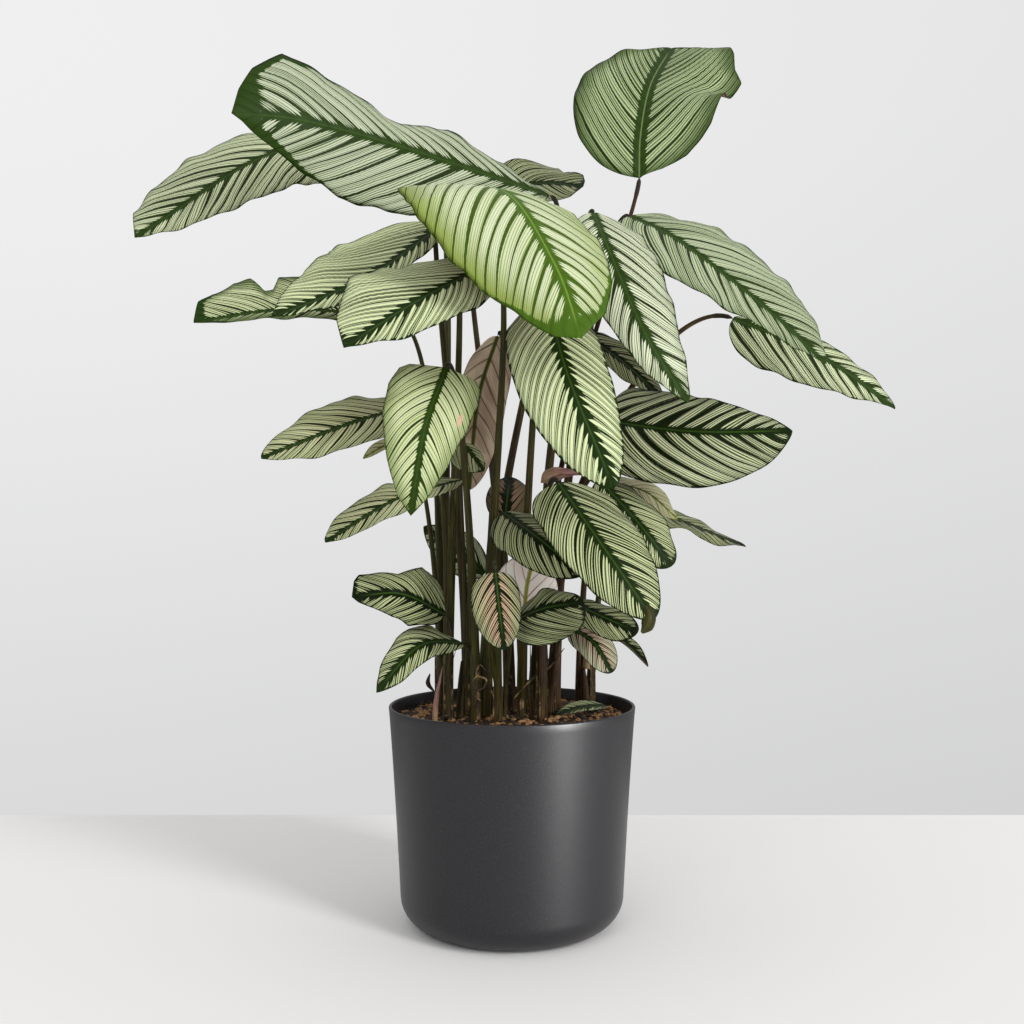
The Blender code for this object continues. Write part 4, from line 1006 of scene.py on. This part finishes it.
# %% The pot's profile and skin
POT_HEIGHT = 0.220
POT_RIM_RADIUS = 0.125          # outer radius at the rim
POT_TOE_RADIUS = 0.1131         # outer radius just above the rounded toe
POT_TOE_ROUND = 0.030           # radius of the rounding between wall and base
POT_WALL = 0.0032
POT_FLOOR = 0.005
RIM_FLARE = 0.15                # share of the wall's flare that gathers towards the rim
TURN_STEPS = 192


def wall_radius(height):
    """Outer radius of the pot's wall, which flares slightly and more so towards the rim."""
    rise = (height - POT_TOE_ROUND) / (POT_HEIGHT - POT_TOE_ROUND)
    flare = (1 - RIM_FLARE) * rise + RIM_FLARE * rise**3
    return POT_TOE_RADIUS + (POT_RIM_RADIUS - POT_TOE_RADIUS) * flare


def arc(centre, radius, start, end, steps):
    """Points (radius from the axis, height) on an arc in the turning plane, angles in degrees."""
    angles = np.radians(np.linspace(start, end, steps))
    return np.stack([centre[0] + radius * np.cos(angles), centre[1] + radius * np.sin(angles)], -1)


def revolved(profile):
    """Rings of a profile of (radius, height) swept round the Z axis."""
    turn = 2 * math.pi * np.arange(TURN_STEPS) / TURN_STEPS
    radius, height = profile[:, 0, None], profile[:, 1, None]
    return np.stack([radius * np.cos(turn), radius * np.sin(turn), height + 0 * turn], -1)


def pot_material():
    """Anthracite powder coat: satin, with fine specks and a fine orange-peel relief."""
    new, tree, shader = material("pot")
    where = node(tree, "TexCoord").outputs["Object"]
    specks = noise(tree, where, 900.0, 2.0, 0.7)
    flakes = noise(tree, where, 2200.0, 1.0, 0.5)
    colour = paint(tree, tint(33, 31, 35), tint(72, 70, 68),
                   times(tree, step(tree, specks, 0.56, 0.72), 0.5))
    colour = paint(tree, colour, tint(20, 19, 22), times(tree, step(tree, specks, 0.44, 0.3), 0.5))
    feed(tree, shader.inputs["Base Color"], colour)
    feed(tree, shader.inputs["Roughness"], scaled(tree, flakes, 0.16, 0.30))
    shader.inputs["Specular IOR Level"].default_value = 0.36
    roughen(tree, shader, specks, 0.00012)
    return new


# %% The turned pot
toe = (POT_TOE_RADIUS - POT_TOE_ROUND, POT_TOE_ROUND)
rim = (POT_RIM_RADIUS - POT_WALL / 2, POT_HEIGHT - POT_WALL / 2)
inner_round = POT_TOE_ROUND - POT_WALL
wall_heights = np.linspace(POT_TOE_ROUND, rim[1], 26)[1:-1]
wall = np.stack([wall_radius(wall_heights), wall_heights], -1)
profile = np.vstack([
    [[0, 0], [0.03, 0], [0.06, 0]],
    arc(toe, POT_TOE_ROUND, -90, 0, 15),
    wall,
    arc(rim, POT_WALL / 2, 0, 180, 9),
    wall[::-1] - [POT_WALL, 0],
    arc((toe[0], POT_FLOOR + inner_round), inner_round, 0, -90, 9),
    [[0, POT_FLOOR]],
])
pot = place("pot_shell", skin("pot_shell", revolved(profile)), pot_material(), "pot", "pot")
print("pot, faces:", len(pot.data.polygons))


# %% [markdown]
# ## Soil
#
# Potting soil is a heap of crumbs of many sizes. Its surface could be left to a bump map, but then
# its outline against the rim would be a straight line. Here the surface is a disc whose height is
# that of many round crumbs pressed together: at each point it is the highest of the domes around
# it. Loose crumbs, chips of bark and a few dry fibres lie on top as small separate skins.

# %% The soil's surface
SOIL_RADIUS = 0.1200
SOIL_DEPTH = 0.040
SOIL_RINGS, SOIL_SIDES = 120, 260
LARGE_CRUMBS = (500, 0.0018, 0.0048)    # how many, and their least and greatest radius
SMALL_CRUMBS = (900, 0.0009, 0.0020)
CRUMB_REACH = 0.122                     # how far from the axis they lie
rng = np.random.default_rng(7)


def domes(x, y, count, low, high):
    """Height of the highest of count domes at each point; a dome of radius r rises by 0.8 r."""
    centre = CRUMB_REACH * np.sqrt(rng.random(count)) * np.exp(2j * math.pi * rng.random(count))
    radius = low + (high - low) * rng.random(count) ** 2
    top = np.zeros(x.shape)
    for c, r in zip(centre, radius):
        near = 1 - ((x - c.real) ** 2 + (y - c.imag) ** 2) / r**2
        top = np.maximum(top, 0.8 * r * np.sqrt(np.clip(near, 0, 1)))
    return top


def soil_mesh():
    """A thick closed disc: a flat underside hidden in the pot, and the crumbly top."""
    ring_radii = SOIL_RADIUS * (1 - np.linspace(0, 1, SOIL_RINGS)) ** 0.9
    turn = 2 * math.pi * np.arange(SOIL_SIDES) / SOIL_SIDES
    x = ring_radii[:, None] * np.cos(turn)
    y = ring_radii[:, None] * np.sin(turn)
    swell = 0.0012 * np.sin(38 * x + 1) * np.cos(31 * y) - 0.002 * eased(np.hypot(x, y), 0.10, 0.12)
    crumbs = domes(x, y, *LARGE_CRUMBS) + 0.5 * domes(x, y, *SMALL_CRUMBS)
    crumbs = crumbs * (1 - eased(np.hypot(x, y), 0.115, 0.120) * 0.6)
    top = SOIL_TOP * MM - 0.0020 + swell + crumbs
    bottom = np.full((1, SOIL_SIDES), SOIL_TOP * MM - SOIL_DEPTH)
    middle = np.zeros((1, SOIL_SIDES))
    rings = np.stack([np.vstack([middle, x[:1] * 0.96, x]), np.vstack([middle, y[:1] * 0.96, y]),
                      np.vstack([bottom, bottom, top])], -1)
    return skin("soil_heap", rings, {"lump": np.vstack([0 * bottom, 0 * bottom, crumbs])})


def soil_material():
    """Reddish-brown crumbs with pale grit in between; painted shade darkens the low gaps between the
    crumbs, which leaves their tops redder and paler.
    """
    new, tree, shader = material("soil")
    where = node(tree, "TexCoord").outputs["Object"]
    large, small = noise(tree, where, 160.0, 3.0, 0.6), noise(tree, where, 900.0, 3.0, 0.7)
    colour = paint(tree, tint(112, 74, 38), tint(184, 136, 84), step(tree, large, 0.38, 0.66))
    colour = paint(tree, colour, tint(196, 168, 122), times(tree, step(tree, small, 0.5, 0.66), 0.85))
    # painted shade: the low gaps between the crumbs, where the crumb height is near nought, are darkened
    colour = paint(tree, colour, tint(46, 30, 16), step(tree, measure(tree, "lump"), 0.0011, 0.0001))
    feed(tree, shader.inputs["Base Color"], colour)
    shader.inputs["Roughness"].default_value = 0.92
    roughen(tree, shader, small, 0.0008)
    return new


SOIL = soil_material()
soil = place("soil_heap", soil_mesh(), SOIL, "soil", "soil")
print("soil, faces:", len(soil.data.polygons))

# %% Loose crumbs and chips of bark
LOOSE_CRUMBS = 420
PEBBLE_RINGS, PEBBLE_SIDES = 6, 7


def pebble(name, centre, size, flat):
    """A lumpy ball: rings of latitude whose radius wavers, squashed by flat."""
    tilt = np.linspace(0, math.pi, PEBBLE_RINGS)[:, None]
    turn = 2 * math.pi * np.arange(PEBBLE_SIDES) / PEBBLE_SIDES + rng.random() * 6
    waver = size * (1 + 0.3 * np.sin(2 * turn + rng.random() * 6) * np.sin(tilt)
                    + 0.15 * rng.random((PEBBLE_RINGS, PEBBLE_SIDES)))
    ball = np.stack([np.sin(tilt) * np.cos(turn), np.sin(tilt) * np.sin(turn),
                     -flat * np.cos(tilt) + 0 * turn], -1)
    return skin(name, centre + ball * waver[..., None])


def scattered(count, reach):
    """Places on the soil, even over its area."""
    at = reach * np.sqrt(rng.random(count)) * np.exp(2j * math.pi * rng.random(count))
    return np.stack([at.real, at.imag, np.full(count, SOIL_TOP * MM)], -1)


crumbs = [pebble("crumb", at, 0.0006 + 0.0016 * rng.random() ** 2, 0.8)
          for at in scattered(LOOSE_CRUMBS, 0.117)]
place("loose_crumbs", joined("loose_crumbs", crumbs), SOIL, "soil")


# %% [markdown]
# ## Scraps and young growth
#
# A clump that has stood for years isn't clean at its foot. Old stalks have been cut to stubs, dry
# sheath edges peel off as tan strips, new shoots come up as pointed rolls, and bark and fibres lie on
# the soil. Each of them is a short tube along a few points, with its own radii, and a flat one is
# simply squashed. None of them carries a leaf, so they are looks only.

# %% A short tube along points
def scrap(name, points, radii, tone=0.5, flat=1.0, sides=10, stations=14, dryness=1.0):
    """A tube through the points (mm) whose radius (mm) runs through radii. flat squashes its
    section; dryness is how much of it is a dry sheath."""
    share = np.linspace(0, 1, stations)
    path, length = smooth_curve(points, share)
    radius = np.interp(share, np.linspace(0, 1, len(radii)), radii)
    rings = tube_rings(path, np.maximum(radius, 0.05), sides)
    rings = path[:, None] + (rings - path[:, None]) * [1, flat, 1]
    run = np.concatenate([[0], share * length, [length]])[:, None] * np.ones(sides)
    angle = 2 * math.pi * np.arange(sides) / sides + 0 * run
    level = 1 + 0 * run
    seed = float(rng.random() * 20)
    values = {"run": run, "left": 90 * level, "wrap": dryness * level, "fold": 0 * level,
              "turn": angle, "tone": tone * level, "seed": seed * level}
    return skin(name, with_ends(path, rings) * MM, values)


# %% Stubs of old stalks in the clump
STUBS = [  # foot (mm), height, radius, tone
    ((-54, -12), 60, 2.8, 0.3), ((-50, -30), 36, 2.6, 0.6), ((-36, -16), 84, 2.6, 0.2),
    ((-24, -28), 66, 2.6, 0.4), ((-8, -24), 90, 2.4, 0.5), ((12, -6), 74, 2.6, 0.7),
    ((20, -28), 44, 2.6, 0.5), ((-16, 10), 100, 2.8, 0.5), ((10, 26), 94, 2.8, 0.7),
    ((36, 14), 80, 2.6, 0.6), ((78, 46), 46, 4.2, 0.9),
]
stubs = []
for (x, y), height, radius, tone in STUBS:
    lean = 0.22 * height * (rng.random(2) - 0.5)
    base = SOIL_TOP - SINK
    path = [(x, y, base), (x + lean[0] / 3, y + lean[1] / 3, base + height * 0.5),
            (x + lean[0], y + lean[1], base + height)]
    stubs.append(scrap("stub", path, (radius, radius * 0.95, radius * 0.85, radius * 0.5), tone))
place("old_stubs", joined("old_stubs", stubs), STALK, "stalk")


# %% Peeling sheath edges, dry curls and a twig
def dry_material():
    """Dead plant fibre: tan to brown, streaked and dull."""
    new, tree, shader = material("dry_sheath")
    where = node(tree, "TexCoord").outputs["Object"]
    blotches = noise(tree, where, 120.0, 3.0, 0.6)
    colour = paint(tree, tint(54, 38, 24), tint(156, 128, 88), step(tree, blotches, 0.46, 0.72))
    feed(tree, shader.inputs["Base Color"], colour)
    shader.inputs["Roughness"].default_value = 0.8
    return new


DRY = dry_material()
dry_bits = []
for (x, y), radius, _, carried in SHOOTS.values():
    for _ in range(2):
        turn = rng.uniform(-2.8, -0.3)
        out = np.array([math.cos(turn), math.sin(turn)])
        rise = rng.uniform(28, 90)
        foot = np.array([x, y]) + out * radius * 0.95
        path = [(*foot, SOIL_TOP - 3), (*(foot + out * 1.0), SOIL_TOP + rise * 0.4),
                (*(foot + out * rng.uniform(0.4, 1.6)), SOIL_TOP + rise * 0.8),
                (*(foot + out * rng.uniform(2, 6)), SOIL_TOP + rise)]
        dry_bits.append(scrap("strip", path, (1.3, 1.0, 0.7, 0.25), flat=0.45, sides=6))
curl = [(-30, -62, 232), (-36, -66, 240), (-27, -68, 247), (-25, -64, 254), (-34, -63, 258),
        (-31, -66, 268), (-25, -64, 262)]
dry_bits.append(scrap("curl", curl, (0.8, 1.0, 0.9, 0.6), sides=6, stations=40))
curl = [(-36, -58, 226), (-33, -62, 238), (-38, -63, 250), (-30, -62, 262)]
dry_bits.append(scrap("curl", curl, (1.3, 1.6, 1.2, 0.4), flat=0.5, sides=6, stations=24))
twig = [(2, -34, 231), (20, -32, 250), (38, -30, 262), (52, -29, 280)]
dry_bits.append(scrap("twig", twig, (0.9, 1.3, 1.2, 0.4), sides=6, stations=20))
dry_bits.append(scrap("twig", [(30, -31, 256), (36, -31, 268), (40, -31, 280)], (0.9, 0.7, 0.3), sides=6))
dry_bits.append(scrap("flake", [(-80, 6, 232), (-86, 6, 240), (-84, 5, 250)], (1.0, 2.6, 0.6), flat=0.5))
place("dry_scraps", joined("dry_scraps", dry_bits), DRY, "stalk")

# %% Chips of bark and fibres on the soil
ground = []
for at in scattered(60, 0.112):
    size = rng.uniform(1.2, 3.4)
    turn = rng.uniform(0, math.pi)
    half = size * np.array([math.cos(turn), math.sin(turn), rng.uniform(-0.25, 0.25)])
    middle = at / MM + [0, 0, 1.4]
    ground.append(scrap("chip", [middle - half, middle, middle + half], (0.3, size * 0.45, 0.3),
                        flat=0.7, sides=6, stations=5))
for at in scattered(70, 0.110):
    turn = rng.uniform(0, 2 * math.pi)
    reach = rng.uniform(3, 9) * np.array([math.cos(turn), math.sin(turn), 0])
    bow = rng.uniform(-2, 2, 3) * [1, 1, 0] + [0, 0, rng.uniform(0.5, 3.0)]
    middle = at / MM + [0, 0, 1.6]
    ground.append(scrap("fibre", [middle - reach, middle + bow, middle + reach], (0.25, 0.4, 0.2),
                        sides=5, stations=9))
tuft = np.array([80, 50, 214])
for _ in range(26):
    reach = rng.uniform(-9, 9, 3) * [1, 1, 0.15]
    bow = rng.uniform(-3, 3, 3) + [0, 0, 4]
    ground.append(scrap("fibre", [tuft - reach, tuft + bow, tuft + reach], (0.25, 0.4, 0.2), sides=5,
                        stations=9))
place("bark_and_fibres", joined("bark_and_fibres", ground), DRY, "soil")


# %% New shoots and the rolled young leaf
def bud_material():
    """A rolled young leaf or sprout: maroon pink, tan towards its foot, finely streaked."""
    new, tree, shader = material("bud")
    run = measure(tree, "run")
    streaks = noise(tree, along_stalk(tree, times(tree, run, 0.02)), 5.0, 3.0, 0.6)
    colour = paint(tree, tint(88, 48, 48), tint(172, 134, 116), step(tree, streaks, 0.4, 0.72))
    colour = paint(tree, colour, tint(150, 124, 88), step(tree, run, 30.0, 4.0))
    feed(tree, shader.inputs["Base Color"], colour)
    shader.inputs["Roughness"].default_value = 0.45
    return new


buds = [
    scrap("rolled_leaf", [(28, -62, 444), (37, -70, 450), (52, -76, 453), (80, -78, 450)],
          (0.4, 7.0, 7.4, 4.6, 2.0, 0.8, 0.3), stations=30, sides=14),
    scrap("sprout", [(-74, -80, 208), (-72, -80, 238), (-66, -80, 269)], (2.6, 2.8, 2.3, 1.3, 0.2),
          stations=24),
    scrap("sprout_tip", [(78.5, 46, 250), (79, 46, 262), (80, 46, 268)], (4.2, 3.8, 0.8)),
]
place("buds", joined("buds", buds), bud_material(), "stalk")
hook = [(113, -194, 337), (117, -196, 329), (116, -197, 319), (111, -197, 312)]
hook_mesh = scrap("hooked_tip", hook, (1.6, 4.0, 6.2, 5.6, 1.2), tone=0.0, stations=30, sides=14,
                  dryness=0.0)
place("hooked_tip", hook_mesh, STALK, "stalk")
print("scraps:", len(stubs) + len(dry_bits) + len(ground) + len(buds) + 1)


# %% [markdown]
# ## Floor, light and camera
#
# The plant stands on a pale floor in a pale room, as in a studio. The main light is a tall lamp far
# off on the right and in front, which throws one soft shadow to the left. The room's even light and
# a weak lamp in front, a little to the left, open the shadows between the leaves. A narrow lamp puts
# the upright shine on the pot. Its light is linked to the pot alone, since the leaves would glare in
# it, and no lamp is seen by the camera. A closed studio with walls would work too. Here the floor
# ends a little behind the pot, and past it the room's pale grey shows as a wall would, with painted
# light and shade on it: paler upwards and darker to the right.

# %% Floor
FLOOR_HALF = 6                  # half its width, and how far it reaches to the front
FLOOR_BACK = 0.424              # how far it reaches behind the plant's middle
floor_corners = [(-FLOOR_HALF, -FLOOR_HALF, 0), (FLOOR_HALF, -FLOOR_HALF, 0),
                 (FLOOR_HALF, FLOOR_BACK, 0), (-FLOOR_HALF, FLOOR_BACK, 0)]
floor_mesh = bpy.data.meshes.new("floor")
floor_mesh.from_pydata(floor_corners, [], [(0, 1, 2, 3)])
floor = bpy.data.objects.new("floor", floor_mesh)
bpy.context.scene.collection.objects.link(floor)
floor_paint, tree, shader = material("floor_paint")
shader.inputs["Base Color"].default_value = tint(248, 247, 246)
shader.inputs["Roughness"].default_value = 0.8
shader.inputs["Specular IOR Level"].default_value = 0.1
floor_mesh.materials.append(floor_paint)

# %% Room light
# The camera sees a backdrop with painted light and shade: it pales upwards and darkens to the right.
# The pieces are lit by glow, which is brighter from above.
world = bpy.data.worlds.new("room")
bpy.context.scene.world = world
world.use_nodes = True
room = world.node_tree
direction = node(room, "TexCoord").outputs["Generated"]
parts = node(room, "SeparateXYZ", {0: direction}).outputs
# painted light and shade on the backdrop that the camera sees: paler upwards, darker to the right
backdrop_painted_light = paint(room, tint(212, 212, 213), tint(240, 240, 240), step(room, parts["Z"], -0.48, 0.36))
backdrop_painted_light = paint(room, backdrop_painted_light, tint(164, 165, 166),
                   times(room, step(room, parts["X"], -0.5, 0.9), 0.24))
glow = paint(room, tint(150, 150, 150), tint(222, 222, 222), step(room, parts["Z"], -0.4, 1.0))
seen = node(room, "LightPath").outputs["Is Camera Ray"]
background = room.nodes["Background"]
feed(room, background.inputs["Color"], paint(room, glow, backdrop_painted_light, seen))
background.inputs["Strength"].default_value = 1.0


# %% Lamps
def lamp(name, at, towards, size, power):
    """A rectangular area lamp at a point, turned to face another, and hidden from the camera."""
    light = bpy.data.lights.new(name, "AREA")
    light.shape = "RECTANGLE"
    light.size, light.size_y = size
    light.energy = power
    new = bpy.data.objects.new(name, light)
    new.location = at
    new.rotation_euler = (Vector(towards) - Vector(at)).to_track_quat("-Z", "Y").to_euler()
    new.visible_camera = False
    bpy.context.scene.collection.objects.link(new)
    return new


lamp("key", (9.0, -9.2, 5.8), (0, 0, 0.4), (3.0, 9.8), 1120)
strip = lamp("strip", (1.8, -1.6, 0.3), (0, 0, 0.12), (0.3, 1.1), 210)
strip.visible_diffuse = False      # it only shines, and doesn't light the pot's wall
shone_on = bpy.data.collections.new("shone_on_by_strip")
shone_on.objects.link(pot)
strip.light_linking.receiver_collection = shone_on
lamp("fill", (-1.4, -3.6, 2.4), (0, 0, 0.4), (2.5, 2.0), 26)

# %% Camera
camera = bpy.data.objects.new("camera", bpy.data.cameras.new("camera"))
bpy.context.scene.collection.objects.link(camera)
camera.location = (0, -1.226, 0.4155)
camera.rotation_euler = (math.radians(90), 0, 0)
camera.data.lens = 42.3
camera.data.sensor_width = 36
bpy.context.scene.camera = camera
bpy.context.scene.view_settings.view_transform = "Standard"
